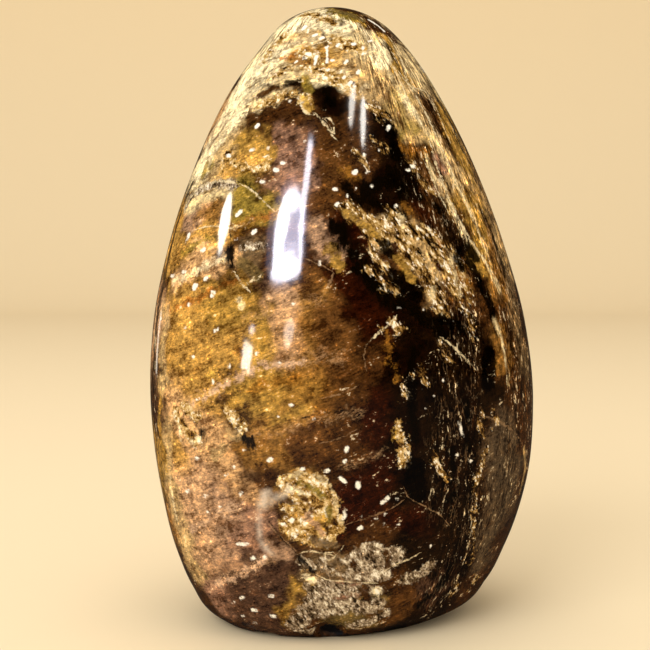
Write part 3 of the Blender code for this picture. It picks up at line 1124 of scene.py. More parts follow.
@dataclass
class Markings:
    """Draws strokes on the stone's skin and keeps them as attributes of its mesh."""

    body: StoneBody
    view: PhotoView
    shape: bmesh.types.BMesh
    mesh: bpy.types.Mesh
    middle_pixel: Point = (343.0, 330.0)
    search_steps: int = 40
    sample_pixels: float = 3.0
    slimmest: float = 0.35
    seed: int = 11
    base: Tone = Tone.CHOCOLATE
    base_weight: float = 0.02
    common_reach: float = 2.2
    wash_span: float = 2.5
    waves: int = 40
    first_wave: float = 0.5
    wave_step: float = 1.07
    stray: float = 0.42
    calming: float = 0.6
    back_seed: int = 23
    back_step: float = 1.5
    back_top: float = 118.0
    wobble: float = 14.0
    fleck_tilt: Point = (1.3, -0.9)
    fleck_turn: float = 0.8
    fleck_sizes: Span = (0.55, 1.05)

    def __post_init__(self) -> None:
        """Read the skin once."""
        self.tree = BVHTree.FromBMesh(self.shape)
        values = np.empty(len(self.mesh.vertices) * 3, dtype=np.float32)
        self.mesh.vertices.foreach_get("co", values)
        self.places = values.reshape(-1, 3).astype(np.float64) / MILLIMETRE
        self.mesh.vertex_normals.foreach_get("vector", values)
        self.normals = values.reshape(-1, 3).astype(np.float64)

    def cast(self, pixel: Point) -> Vector:
        """Find the skin behind a pixel, or behind the nearest pixel towards the stone's middle.

        Args:
            pixel: Across and down in the photograph.

        Returns:
            The point on the skin, in metres.
        """
        spot = Vector(pixel)
        step = (Vector(self.middle_pixel) - spot).normalized()
        for _ in range(self.search_steps):
            hit = self.tree.ray_cast(self.view.place, self.view.ray(tuple(spot)))[0]
            if hit is not None:
                return hit
            spot += step
        raise ValueError(f"no stone behind {pixel}")

    def smooth_path(self, path: Path) -> list[Point]:
        """Run a smooth curve through a path's points.

        Args:
            path: The points, in pixels.

        Returns:
            Points a few pixels apart along the curve, or the one point of a dot.
        """
        if len(path) < 2:
            return list(path)
        points = [Vector(p) for p in path]
        points = [2 * points[0] - points[1]] + points + [2 * points[-1] - points[-2]]
        curve = []
        for before, start, end, after in zip(points, points[1:], points[2:], points[3:]):
            count = max(1, round((end - start).length / self.sample_pixels))
            for step in range(count):
                t = step / count
                curve.append(tuple(0.5 * (
                    2 * start + (end - before) * t
                    + (2 * before - 5 * start + 4 * end - after) * t**2
                    + (3 * start - before - 3 * end + after) * t**3)))
        return curve + [tuple(path[-1])]

    def trace(self, path: Path, reach: float, taper: bool = False) -> Trace:
        """Lay a path of the photograph on the stone, as wide as it is given in pixels."""
        points = [self.cast(pixel) / MILLIMETRE for pixel in self.smooth_path(path)]
        return self.widen(points, reach, taper)

    def laid(self, strokes: Marks, taper: bool = False) -> list[Trace]:
        """Lay some strokes on the stone."""
        return [self.trace(stroke.path, stroke.reach, taper) for stroke in strokes]

    def widen(self, points: Sequence[Vector], reach: float, taper: bool) -> Trace:
        """Give a row of points on the skin a half width.

        Args:
            points: The points, in millimetres.
            reach: The half width, in pixels.
            taper: Whether the stroke thins towards its ends.

        Returns:
            The stroke on the skin.
        """
        width = np.full(len(points), reach * PIXEL / MILLIMETRE)
        if taper and len(points) > 2:
            along = np.linspace(0.0, math.pi, len(points))
            fullness = np.sqrt(np.sin(along).clip(0.0, 1.0))
            width *= self.slimmest + (1.0 - self.slimmest) * fullness
        return Trace(np.array(points), width)

    def distances(self, trace: Trace, reach: float) -> tuple[np.ndarray, np.ndarray, np.ndarray]:
        """Measure the skin against a stroke.

        Args:
            trace: The stroke.
            reach: How far from the stroke to measure, in millimetres.

        Returns:
            The vertices near it, their distance less the half width there, and their distance
            to its side, signed, as a share of the half width.
        """
        low = trace.points.min(axis=0) - reach
        high = trace.points.max(axis=0) + reach
        near = np.nonzero(((self.places > low) & (self.places < high)).all(axis=1))[0]
        spots = self.places[near]
        best, side = np.full((2, len(near)), FAR * 10)
        points = trace.points if len(trace.points) > 1 else trace.points.repeat(2, axis=0)
        for index, (start, end) in enumerate(zip(points, points[1:])):
            along = end - start
            length = float(along @ along)
            offset = spots - start
            t = np.clip(offset @ along / length, 0.0, 1.0) if length > 0 else np.zeros(len(spots))
            gap = offset - t[:, None] * along
            last = min(index + 1, len(trace.reach) - 1)
            width = trace.reach[index] * (1 - t) + trace.reach[last] * t
            away = np.linalg.norm(gap, axis=1)
            closer = away - width < best
            best = np.where(closer, away - width, best)
            across = np.einsum("ij,ij->i", np.cross(self.normals[near], along), gap)
            signed = np.where(across < 0, -away, away) / width
            side = np.where(closer, signed, side)
        return near, best, side

    def strayed(self) -> np.ndarray:
        """Shift the skin's places by a sum of waves, so that what is measured there strays.

        Returns:
            The shifted places, in millimetres.
        """
        draw = random.Random(self.seed)
        places = self.places.copy()
        for index in range(self.waves):
            quickness = self.first_wave * self.wave_step**index
            way, push = (
                np.array(Vector([draw.gauss(0.0, 1.0) for _ in range(3)]).normalized())
                for _ in range(2))
            phase = draw.uniform(0.0, 2 * math.pi)
            swing = np.sin(self.places @ way * quickness + phase) * self.stray
            places += np.outer(swing / quickness**self.calming, push)
        return places

    def save(self, name: str, values: np.ndarray) -> None:
        """Keep a number for each vertex under a name."""
        layer = self.mesh.attributes.new(name, "FLOAT", "POINT")
        layer.data.foreach_set("value", values.astype(np.float32))

    def paint(self, name: str, traces: Sequence[Trace], is_line: bool = False) -> None:
        """Keep the distance to some strokes, and for lines the distance to the side as well.

        Args:
            name: What the distance is called on the mesh.
            traces: The strokes on the stone.
            is_line: Whether they are thin lines.
        """
        distance, side = np.full((2, len(self.places)), FAR)
        for trace in traces:
            near, best, signed = self.distances(trace, FAR)
            closer = best < distance[near]
            side[near] = np.where(closer, signed, side[near])
            distance[near] = np.minimum(distance[near], best)
        self.save(name, distance)
        if is_line:
            self.save(name + "_side", side.clip(-FAR, FAR))

    def paint_washes(self, washes: Sequence[tuple[Tone, Trace]]) -> None:
        """Blend the soft zones' colours over the stone; the smaller a zone, the more it covers.

        Args:
            washes: Each zone's tone, and its stroke.
        """
        true_places = self.places
        self.places = self.strayed()
        total = np.full(len(self.places), self.base_weight)
        colour = np.outer(total, np.array(self.base.colour))
        for tone, trace in washes:
            reach = float(trace.reach[0])
            near, best, _ = self.distances(trace, reach * self.wash_span)
            away = (best + reach).clip(0.0, None) / reach
            weight = np.exp(-away**2) * self.common_reach / reach
            total[near] += weight
            colour[near] += np.outer(weight, np.array(tone.colour))
        self.places = true_places
        layer = self.mesh.attributes.new("wash", "FLOAT_COLOR", "POINT")
        values = (colour / total[:, None]).astype(np.float32)
        values[:, 3] = 1.0
        layer.data.foreach_set("color", values.ravel())

    def strewn(self, strew: Strew, draw: random.Random) -> list[Trace]:
        """Draw one kind of mark over the back.

        Args:
            strew: The kind of mark, and where it may lie.
            draw: The seeded draw.

        Returns:
            The marks on the skin.
        """
        traces = []
        for _ in range(strew.count):
            angle = math.radians(draw.uniform(*strew.angles))
            height = draw.uniform(*strew.heights)
            points = []
            for _ in range(1 + round(strew.length / self.back_step)):
                spot = self.body.wall_point(angle, height * MILLIMETRE)
                points.append(self.tree.find_nearest(spot)[0] / MILLIMETRE)
                rise = math.radians(strew.rise + draw.gauss(0.0, self.wobble))
                angle -= math.cos(rise) * self.back_step / self.body.course_radius_mm
                height = min(self.back_top, height + math.sin(rise) * self.back_step)
            traces.append(self.widen(points, strew.reach, strew.kind in LINES))
        return traces

    def fleck(self, spot: Point, reach: float, draw: random.Random) -> Trace:
        """Lay one slanted fleck on the stone.

        Args:
            spot: Its middle, in pixels.
            reach: Its greatest half width, in pixels.
            draw: Where its size and turn come from.

        Returns:
            The fleck on the skin.
        """
        size = draw.uniform(*self.fleck_sizes)
        turn = Matrix.Rotation(draw.uniform(-self.fleck_turn, self.fleck_turn), 2)
        middle, half = Vector(spot), turn @ Vector(self.fleck_tilt) * size
        return self.trace((tuple(middle - half), spot, tuple(middle + half)), reach * size)

    def build(self) -> None:
        """Draw every layer and zone."""
        traces = {
            layer: self.laid(strokes, layer in LINES) for layer, strokes in STROKES.items()}
        washes = [
            (tone, trace) for tone, strokes in WASHES.items() for trace in self.laid(strokes)]
        draw = random.Random(self.back_seed)
        for patch in FLECKS:
            traces[Layer.FLECK] += [self.fleck(spot, patch.reach, draw) for spot in patch.path]
        for strew in BACK:
            if isinstance(strew.kind, Tone):
                washes += [(strew.kind, trace) for trace in self.strewn(strew, draw)]
            else:
                traces[strew.kind] += self.strewn(strew, draw)
        for layer, strokes in traces.items():
            self.paint(layer.value, strokes, layer in LINES)
        for prefix, kind in ZONES.items():
            for tone, strokes in kind.strokes.items():
                self.paint(prefix + tone.value, self.laid(strokes))
        self.paint_washes(washes)


@dataclass
class Sheet:
    """A node tree with short ways to add nodes to it and join them."""

    tree: Tree

    def put(self, socket: Socket, value: object) -> None:
        """Join a socket to another one, or give it a plain value.

        Args:
            socket: The socket that takes it.
            value: The other socket, or the value.
        """
        if isinstance(value, Socket):
            self.tree.links.new(value, socket)
        else:
            socket.default_value = value

    def add(self, kind: str, inputs: dict[str | int, object] | None = None,
            **settings: object) -> bpy.types.Node:
        """Add a node.

        Args:
            kind: The node's type.
            inputs: What goes into its sockets, by name or number.
            settings: Its other settings.

        Returns:
            The node.
        """
        node = self.tree.nodes.new(kind)
        for name, value in settings.items():
            setattr(node, name, value)
        for key, value in (inputs or {}).items():
            self.put(node.inputs[key], value)
        return node

    def math(self, operation: str, first: Value, second: Value = 0.0, clamp: bool = False) -> Socket:
        """Work out one sum.

        Args:
            operation: The kind of sum, as the math node names it.
            first: What comes before the sign.
            second: What comes after it.
            clamp: Whether the result is kept between nought and one.

        Returns:
            The result.
        """
        node = self.add("ShaderNodeMath", {0: first, 1: second}, operation=operation)
        node.use_clamp = clamp
        return node.outputs[0]

    def times(self, product: Value, *others: Value) -> Socket:
        """Multiply values, one after another."""
        for other in others:
            product = self.math("MULTIPLY", product, other)
        return product

    def total(self, parts: Sequence[tuple[float, Value]]) -> Socket:
        """Add up patterns that swing about a half, so that the total swings about nought.

        Args:
            parts: Each pattern's weight, and the pattern.

        Returns:
            The weighted total.
        """
        total: Value = 0.0
        for weight, part in parts:
            swing = self.math("SUBTRACT", part, 0.5)
            total = self.math("ADD", self.times(swing, weight), total)
        return total

    def band(self, value: Value, low: Value, high: Value, start: Value = 0.0, end: Value = 1.0,
             smooth: bool = True) -> Socket:
        """Bring a value from one range to another.

        Args:
            value: The value.
            low: Where the first range starts.
            high: Where it ends.
            start: What its start becomes.
            end: What its end becomes.
            smooth: Whether it eases in and out at the two ends.

        Returns:
            The value in the second range.
        """
        easing = "SMOOTHSTEP" if smooth else "LINEAR"
        node = self.add("ShaderNodeMapRange", interpolation_type=easing)
        for socket, given in zip(node.inputs, (value, low, high, start, end)):
            self.put(socket, given)
        return node.outputs[0]

    def mix(self, share: Value, under: object, over: object, blend: str = "MIX") -> Socket:
        """Lay one colour over another.

        Args:
            share: How much the upper colour covers.
            under: The lower colour.
            over: The upper colour.
            blend: How it is laid, as the mix node names it.

        Returns:
            The colour of both.
        """
        node = self.add("ShaderNodeMix", data_type="RGBA", blend_type=blend)
        self.put(node.inputs[0], share)
        self.put(node.inputs[6], under)
        self.put(node.inputs[7], over)
        return node.outputs[2]

    def stretched(self, vector: Triple, size: Triple, turn: Triple = (0.0, 0.0, 0.0)) -> Socket:
        """Turn the place that a pattern is read at, and stretch the pattern to a size."""
        node = self.add(
            "ShaderNodeMapping", {"Vector": vector, "Rotation": turn, "Scale": size},
            vector_type="TEXTURE")
        return node.outputs[0]

    def noise(self, vector: Triple, scale: Value = 1.0, detail: float = 3.0,
              roughness: float = 0.55, distortion: float = 0.0) -> Socket:
        """Read a cloudy pattern.

        Args:
            vector: Where to read it.
            scale: How many clouds there are to a unit of length.
            detail: How many times finer clouds are added.
            roughness: How strong the finer clouds are.
            distortion: How much the clouds are swirled.

        Returns:
            The pattern's value, from nought to one.
        """
        node = self.add("ShaderNodeTexNoise", {
            "Vector": vector, "Scale": scale, "Detail": detail, "Roughness": roughness,
            "Distortion": distortion})
        return node.outputs["Fac"]

    def cells(self, vector: Triple, scale: Value) -> Socket:
        """Read a field of cells, each of one value from nought to one."""
        field = self.add("ShaderNodeTexVoronoi", {"Vector": vector, "Scale": scale})
        return self.add("ShaderNodeSeparateColor", {0: field.outputs["Color"]}).outputs[0]

    def ramp(self, value: Value, stops: Sequence[tuple[float, Colour]]) -> Socket:
        """Turn a value into a colour along a row of stops.

        Args:
            value: The value.
            stops: Each stop's place and colour.

        Returns:
            The colour.
        """
        node = self.add("ShaderNodeValToRGB", {0: value})
        elements = node.color_ramp.elements
        elements.remove(elements[1])
        elements[0].position, elements[0].color = stops[0]
        for place, colour in stops[1:]:
            elements.new(place).color = colour
        return node.outputs[0]

    def attribute(self, name: str, output: str = "Fac") -> Socket:
        """Read an attribute of the stone's mesh."""
        return self.add("ShaderNodeAttribute", attribute_name=name).outputs[output]

    def group(self, tree: Tree, **inputs: object) -> bpy.types.Node:
        """Place a node group.

        Args:
            tree: The group.
            inputs: What goes into its inputs, by their names in small letters.

        Returns:
            The group's node.
        """
        node = self.add("ShaderNodeGroup", node_tree=tree)
        for name, value in inputs.items():
            self.put(node.inputs[name.capitalize()], value)
        return node

    def given(self) -> bpy.types.bpy_prop_collection:
        """Tell what is given to the group, by name."""
        return self.tree.nodes["in"].outputs

    def finished(self, **results: Socket) -> Tree:
        """Join the group's results to its end.

        Args:
            results: The results, by the names of its outputs in small letters.

        Returns:
            The group.
        """
        for name, value in results.items():
            self.put(self.tree.nodes["out"].inputs[name.capitalize()], value)
        return self.tree


SOCKET_KINDS = {"Place": "Vector", "Tone": "Color", "Colour": "Color"}


def new_group(name: str, inputs: Sequence[str], outputs: Sequence[str]) -> Sheet:
    """Start a shader node group, with sockets for plain numbers but for the named kinds.

    Args:
        name: The group's name.
        inputs: Its inputs' names.
        outputs: Its outputs' names.

    Returns:
        The sheet of the group, with its two end nodes added.
    """
    tree = bpy.data.node_groups.new(name, "ShaderNodeTree")
    for direction, sockets in (("INPUT", inputs), ("OUTPUT", outputs)):
        for title in sockets:
            kind = "NodeSocket" + SOCKET_KINDS.get(title, "Float")
            tree.interface.new_socket(title, in_out=direction, socket_type=kind)
    tree.nodes.new("NodeGroupInput").name = "in"
    tree.nodes.new("NodeGroupOutput").name = "out"
    return Sheet(tree)


@dataclass(frozen=True)
class BrokenEdge:
    """Group: turns a distance to a mark into a mask whose edge strays with a swing."""

    def build(self) -> Tree:
        """Make the group.

        Returns:
            The group.
        """
        sheet = new_group("broken_edge", ("Distance", "Swing", "Wander", "Blur"), ("Mask",))
        given = sheet.given()
        distance = sheet.math("ADD", given["Distance"], sheet.times(given["Swing"], given["Wander"]))
        low = sheet.times(given["Blur"], -1.0)
        return sheet.finished(mask=sheet.band(distance, low, given["Blur"], 1.0, 0.0))


@dataclass(frozen=True)
class Granules:
    """Group: packed crystal grains of mixed sizes, with bright glints along their edges."""

    def build(self) -> Tree:
        """Make the group.

        Returns:
            The group.
        """
        sheet = new_group("granules", ("Place", "Fineness"), ("Shade", "Glint"))
        given = sheet.given()
        place, fineness = given["Place"], given["Fineness"]
        broad = sheet.noise(place, sheet.times(fineness, 0.4), 2.0, 0.5)
        cloud = sheet.noise(place, sheet.times(fineness, 0.9), 4.0, 0.75)
        large = sheet.cells(place, fineness)
        small = sheet.cells(place, sheet.times(fineness, 2.6))
        shade = sheet.total(((1.4, broad), (2.3, cloud), (0.35, large), (0.3, small)))
        shade = sheet.math("ADD", shade, 0.5, clamp=True)
        glint = sheet.times(sheet.band(small, 0.86, 0.90), sheet.band(shade, 0.45, 0.60))
        return sheet.finished(shade=shade, glint=glint)


@dataclass(frozen=True)
class Sprinkle:
    """Group: strews small pale dots, one in some of a field of cells, which stand partly for grains and
    partly for painted sparkle.
    """

    def build(self) -> Tree:
        """Make the group.

        Returns:
            The group.
        """
        sheet = new_group("sprinkle", ("Place", "Fineness", "Size", "Share"), ("Mask",))
        given = sheet.given()
        cells = sheet.add("ShaderNodeTexVoronoi", {
            "Vector": given["Place"], "Scale": given["Fineness"]})
        parts = sheet.add("ShaderNodeSeparateColor", {0: cells.outputs["Color"]})
        size = sheet.times(
            given["Size"], sheet.band(parts.outputs[2], 0.0, 1.0, 0.5, 1.4, smooth=False))
        dot = sheet.math("LESS_THAN", cells.outputs["Distance"], size)
        chosen = sheet.math("LESS_THAN", parts.outputs[0], given["Share"])
        bright = sheet.band(parts.outputs[1], 0.0, 1.0, 0.15, 1.0, smooth=False)
        return sheet.finished(mask=sheet.times(dot, chosen, bright))


@dataclass(frozen=True)
class Threads:
    """Group: draws broken threads along the ridges of a cloudy pattern."""

    def build(self) -> Tree:
        """Make the group.

        Returns:
            The group.
        """
        sheet = new_group("threads", ("Place", "Fineness", "Thickness"), ("Mask",))
        given = sheet.given()
        wave = sheet.noise(given["Place"], given["Fineness"], 3.0, 0.55)
        ridge = sheet.math("ABSOLUTE", sheet.math("SUBTRACT", wave, 0.5))
        low = sheet.times(given["Thickness"], 0.3)
        thin = sheet.band(ridge, low, given["Thickness"], 1.0, 0.0)
        coarse = sheet.times(given["Fineness"], 0.6)
        gaps = sheet.band(sheet.noise(given["Place"], coarse, 3.0, 0.6), 0.44, 0.58)
        return sheet.finished(mask=sheet.times(thin, gaps))


@dataclass(frozen=True)
class Depth:
    """Group: takes a tone from deep and rich to pale and bright as a value rises from -2 to 2."""

    cream: Colour = tint("f4e2bc")
    deep: Colour = (0.28, 0.215, 0.15, 1.0)
    bright: Colour = (2.3, 2.15, 1.85, 1.0)
    deepest_at: float = -1.9
    plain_at: float = 0.1
    brightest_at: float = 2.4
    shine_at: Span = (1.8, 2.8)

    def build(self) -> Tree:
        """Make the group.

        Returns:
            The group.
        """
        sheet = new_group("depth", ("Tone", "Value", "Shine"), ("Colour",))
        given = sheet.given()
        tone, value = given["Tone"], given["Value"]
        deep = sheet.mix(1.0, tone, self.deep, "MULTIPLY")
        bright = sheet.mix(1.0, tone, self.bright, "MULTIPLY")
        depth = sheet.band(value, self.deepest_at, self.plain_at, smooth=False)
        colour = sheet.mix(depth, deep, tone)
        height = sheet.band(value, self.plain_at, self.brightest_at, smooth=False)
        colour = sheet.mix(height, colour, bright)
        shine = sheet.times(sheet.band(value, *self.shine_at), given["Shine"])
        return sheet.finished(colour=sheet.mix(shine, colour, self.cream))


@dataclass(frozen=True)
class ThinLine:
    """Group: draws a broken line of uneven width where the distance to its side is small."""

    def build(self) -> Tree:
        """Make the group.

        Returns:
            The group.
        """
        sheet = new_group("thin_line", ("Place", "Side", "Distance", "Waver"), ("Mask",))
        given = sheet.given()
        wander = sheet.math("SUBTRACT", sheet.noise(given["Place"], 1.1, 5.0, 0.75), 0.5)
        side = sheet.math("ADD", given["Side"], sheet.times(wander, given["Waver"]))
        width = sheet.band(
            sheet.noise(given["Place"], 1.4, 3.0, 0.7), 0.35, 0.65, 0.25, 1.7, smooth=False)
        share = sheet.math("DIVIDE", sheet.math("ABSOLUTE", side), width)
        thin = sheet.band(share, 0.4, 1.2, 1.0, 0.0)
        near = sheet.band(given["Distance"], 0.15, 0.5, 1.0, 0.0)
        gaps = sheet.band(sheet.noise(given["Place"], 0.7, 5.0, 0.8), 0.38, 0.58, 0.08, 1.0)
        return sheet.finished(mask=sheet.times(thin, near, gaps))


@dataclass(frozen=True)
class PolishedCalcite:
    """The stone's finish: clouded, grained and banded calcite under a hand polish."""

    name: str = "polished_calcite"
    roughness: float = 0.07
    broken_roughness: float = 0.55
    ior: float = 1.5

    def build(self) -> bpy.types.Material:
        """Make the material.

        Returns:
            The material.
        """
        material = bpy.data.materials.new(self.name)
        material.use_nodes = True
        sheet = Sheet(material.node_tree)
        shader = sheet.tree.nodes["Principled BSDF"]
        shader.inputs["IOR"].default_value = self.ior
        pattern = StonePattern(sheet)
        pattern.lay_zones("patch_", pattern.swing)
        pattern.lay_zones("strand_", pattern.long_swing)
        pattern.lay_zones("facet_", pattern.swing)
        pattern.lay_ground()
        pattern.sink_darks()
        pattern.draw_threads()
        pattern.set_crystals()
        pattern.lay_zones("glaze_", pattern.swing, pattern.value)
        pattern.strew_grains_and_sparkle()
        pattern.draw_lines()
        hollow = pattern.mask(Layer.HOLLOW.value, pattern.swing, 6.0, 0.25)
        sheet.put(shader.inputs["Base Color"], pattern.colour)
        sheet.put(
            shader.inputs["Roughness"],
            sheet.band(hollow, 0.0, 1.0, self.roughness, self.broken_roughness, smooth=False))
        sheet.put(shader.inputs["Normal"], pattern.relief(hollow))
        return material


@dataclass
class StonePattern:
    """The stone's pattern as it is laid down, from the zones of colour to the last fleck."""

    sheet: Sheet
    band_tilt: float = math.radians(-22.0)
    slant: float = math.radians(-31.0)
    white: Colour = tint("fff8e8")
    cream: Colour = tint("ecd9ae")
    tan: Colour = tint("c8a074")
    black: Colour = tint("060300")
    ember: Colour = tint("1e0a03")
    rose: Colour = tint("f6e6d2")
    light: Colour = (2.8, 2.6, 2.2, 1.0)
    warm: Colour = (1.10, 0.92, 0.70, 1.0)
    deep: Colour = (0.22, 0.15, 0.09, 1.0)
    ground_shine: float = 0.65
    glaze_shine: float = 0.5
    seam_share: float = 0.4
    halo_share: float = 0.8
    core_share: float = 0.95
    haze_share: float = 0.65
    wave_height: float = 0.015
    break_height: float = 0.8

    def __post_init__(self) -> None:
        """Build the groups, and find the places and swings that the pattern is read with."""
        sheet = self.sheet
        self.broken = BrokenEdge().build()
        self.granules = Granules().build()
        self.sprinkle = Sprinkle().build()
        self.depth = Depth().build()
        self.line = ThinLine().build()
        self.threads = Threads().build()
        metres = sheet.add("ShaderNodeTexCoord").outputs["Object"]
        self.place = sheet.stretched(metres, (MILLIMETRE,) * 3)
        self.colour = sheet.attribute("wash", "Color")
        self.tilted = sheet.stretched(self.place, (1.0, 1.0, 0.45), (0.0, self.band_tilt, 0.0))
        self.slanted = sheet.stretched(self.place, (0.8, 0.8, 1.7), (0.0, self.slant, 0.0))
        self.upright = sheet.stretched(sheet.attribute("course", "Vector"), (1.0, 2.5, 4.0))
        self.swing = sheet.total(((1.0, sheet.noise(self.place, 0.55, 6.0, 0.75)),))
        self.slant_swing = sheet.total(((1.0, sheet.noise(self.slanted, 0.55, 6.0, 0.75)),))
        self.long_swing = sheet.total(((1.0, sheet.noise(self.upright, 0.8, 6.0, 0.75)),))
        self.micro = sheet.noise(self.place, 2.3, 2.0, 0.6)

    def mask(self, name: str, swing: Socket, wander: float, blur: float) -> Socket:
        """Turn a distance to marks into a ragged mask.

        Args:
            name: The distance's name on the mesh.
            swing: The uneven value that its edge strays with.
            wander: How far it strays, in millimetres for a whole step of the swing.
            blur: How soft its edge is, in millimetres.

        Returns:
            The mask.
        """
        return self.sheet.group(
            self.broken, distance=self.sheet.attribute(name), swing=swing, wander=wander,
            blur=blur).outputs[0]

    def deepened(self, tone: object, value: Socket, shine: float) -> Socket:
        """Run a tone from deep to bright with a value."""
        return self.sheet.group(self.depth, tone=tone, value=value, shine=shine).outputs[0]

    def lay(self, share: Value, over: object, blend: str = "MIX") -> None:
        """Lay a colour over what there is."""
        self.colour = self.sheet.mix(share, self.colour, over, blend)

    def lay_zones(self, prefix: str, swing: Socket, value: Socket | None = None) -> None:
        """Lay one kind of zone, each in its tone.

        Args:
            prefix: What the names of the kind's distances start with.
            swing: The uneven value that the zones' edges stray with.
            value: How light or deep the tones run over the stone, if they don't stay plain.
        """
        kind = ZONES[prefix]
        for tone in kind.strokes:
            mask = self.mask(prefix + tone.value, swing, kind.wander, kind.blur)
            over: object = tone.colour
            if value is not None:
                over = self.deepened(tone.colour, value, self.glaze_shine)
            self.lay(self.sheet.times(mask, kind.share), over)

    def lay_ground(self) -> None:
        """Cloud, band and grain the ground, along the growth bands or the stone's length."""
        sheet = self.sheet
        clouds = sheet.noise(self.place, 0.28, 5.0, 0.65)
        mottle = sheet.noise(self.place, 0.75, 5.0, 0.65)
        patches = sheet.noise(self.tilted, 0.16, 4.0, 0.6)
        self.lay(sheet.band(patches, 0.50, 0.72, 0.0, 0.5), self.warm, "MULTIPLY")
        bands = sheet.noise(sheet.stretched(self.tilted, (8.0, 8.0, 3.2)), 1.0, 6.0, 0.68, 0.3)
        threads = sheet.noise(self.tilted, 1.2, 4.0, 0.75)
        calm = sheet.total((
            (7.0, clouds), (6.5, mottle), (7.0, bands), (5.5, threads), (2.5, self.micro),
            (1.0, sheet.cells(self.tilted, 1.9))))
        along = sheet.noise(self.upright, 1.1, 6.0, 0.74)
        fine = sheet.noise(self.upright, 2.9, 3.0, 0.7)
        lively = sheet.total((
            (15.0, along), (12.0, fine), (4.0, self.micro), (2.0, clouds),
            (1.4, sheet.cells(self.upright, 2.2))))
        self.streaked = self.mask(Layer.STREAK.value, self.swing, 12.0, 2.5)
        self.value = sheet.band(self.streaked, 0.0, 1.0, calm, lively, smooth=False)
        self.colour = self.deepened(self.colour, self.value, self.ground_shine)
        seam = self.mask(Layer.SEAM.value, self.swing, 9.0, 0.9)
        grains = sheet.band(threads, 0.40, 0.62)
        self.lay(sheet.times(seam, grains, self.seam_share), self.tan)

    def sink_darks(self) -> None:
        """Sink the smoky inclusions, each with a rusty rim; the dark marks beside the fan and the left
        crystals are painted shadows, sunk the same way.
        """
        sheet = self.sheet
        swing = sheet.total(((0.6, sheet.math("ADD", self.swing, 0.5)),
                             (0.6, sheet.math("ADD", self.long_swing, 0.5))))
        halo = self.mask(Layer.DARK.value, swing, 9.0, 1.6)
        self.lay(sheet.times(halo, self.halo_share), self.ember)
        core = self.mask(Layer.DARK.value, swing, 9.0, 0.6)
        self.lay(sheet.times(core, self.core_share), self.black)

    def draw_threads(self) -> None:
        """Draw thin broken threads, along the stone's length or along its growth bands."""
        sheet = self.sheet
        calm = sheet.math("SUBTRACT", 1.0, self.streaked)
        looks = (
            (self.upright, 1.30, 0.030, self.streaked, 0.12, self.tan, "MIX"),
            (self.upright, 0.75, 0.032, self.streaked, 0.85, self.light, "MULTIPLY"),
            (self.upright, 0.60, 0.036, self.streaked, 0.85, self.deep, "MULTIPLY"),
            (self.tilted, 0.50, 0.026, calm, 0.40, self.light, "MULTIPLY"),
        )
        for place, fineness, thickness, where, share, shade, blend in looks:
            mask = sheet.group(
                self.threads, place=place, fineness=fineness, thickness=thickness).outputs[0]
            self.lay(sheet.times(mask, where, share), shade, blend)

    def set_crystals(self) -> None:
        """Set the granular crystal patches and the golden cluster."""
        sheet = self.sheet
        looks = (
            (Layer.SHARDS, self.slanted, self.slant_swing, 1.2, 9.0, 0.7, (
                (0.08, tint("100802")), (0.28, tint("3c260e")), (0.46, tint("7a5a2a")),
                (0.62, tint("a8844a")), (0.80, tint("d4b67c")), (0.95, tint("f8ead0")))),
            (Layer.PALE, self.slanted, self.swing, 1.4, 4.5, 0.35, (
                (0.05, tint("1e140a")), (0.25, tint("4e3c24")), (0.47, tint("84705a")),
                (0.66, tint("aa967a")), (0.85, tint("d6c6a8")), (1.0, tint("faf0dc")))),
            (Layer.GOLD, self.place, self.swing, 1.0, 6.0, 0.5, (
                (0.05, tint("2e1a08")), (0.25, tint("6e4c1c")), (0.42, tint("a88344")),
                (0.62, tint("cca86a")), (0.83, tint("ecd4a0")), (1.0, tint("fff6e4")))),
        )
        for layer, at, swing, fineness, wander, glints, stops in looks:
            grains = sheet.group(self.granules, place=at, fineness=fineness)
            shades = sheet.ramp(grains.outputs["Shade"], stops)
            glint = sheet.times(grains.outputs["Glint"], glints)
            shades = sheet.mix(glint, shades, self.white)
            self.lay(self.mask(layer.value, swing, wander, 0.30), shades)

    def strew_grains_and_sparkle(self) -> None:
        """Strew pale dots of two sizes over everything: partly pale grains, partly painted pinpoint
        sparkle.
        """
        sheet = self.sheet
        density = sheet.band(sheet.noise(self.place, 0.16, 3.0), 0.35, 0.70, 0.01, 0.14)
        for fineness, size, share in ((1.9, 0.34, 0.9), (0.9, 0.20, 0.9)):
            dots = sheet.group(
                self.sprinkle, place=self.place, fineness=fineness, size=size, share=density)
            self.lay(sheet.times(dots.outputs[0], share), self.light, "MULTIPLY")

    def draw_lines(self) -> None:
        """Draw the haze, veins, cracks and flecks."""
        sheet = self.sheet
        haze = self.mask(Layer.HAZE.value, self.swing, 2.6, 1.1)
        self.lay(sheet.times(haze, self.haze_share), self.rose)
        # Among these lines are painted reflections along the limbs and the crown's top edge; among the
        # flecks is a painted highlight dash on the crown.
        shades = ((Layer.RIM, self.tan, 0.35), (Layer.CUT, self.black, 0.95),
                  (Layer.VEIN, self.cream, 0.85))
        for layer, shade, share in shades:
            mask = sheet.group(
                self.line, place=self.place, side=sheet.attribute(layer.value + "_side"),
                distance=sheet.attribute(layer.value), waver=7.0).outputs[0]
            self.lay(sheet.times(mask, share), shade)
        self.lay(self.mask(Layer.FLECK.value, self.swing, 1.2, 0.15), self.white)

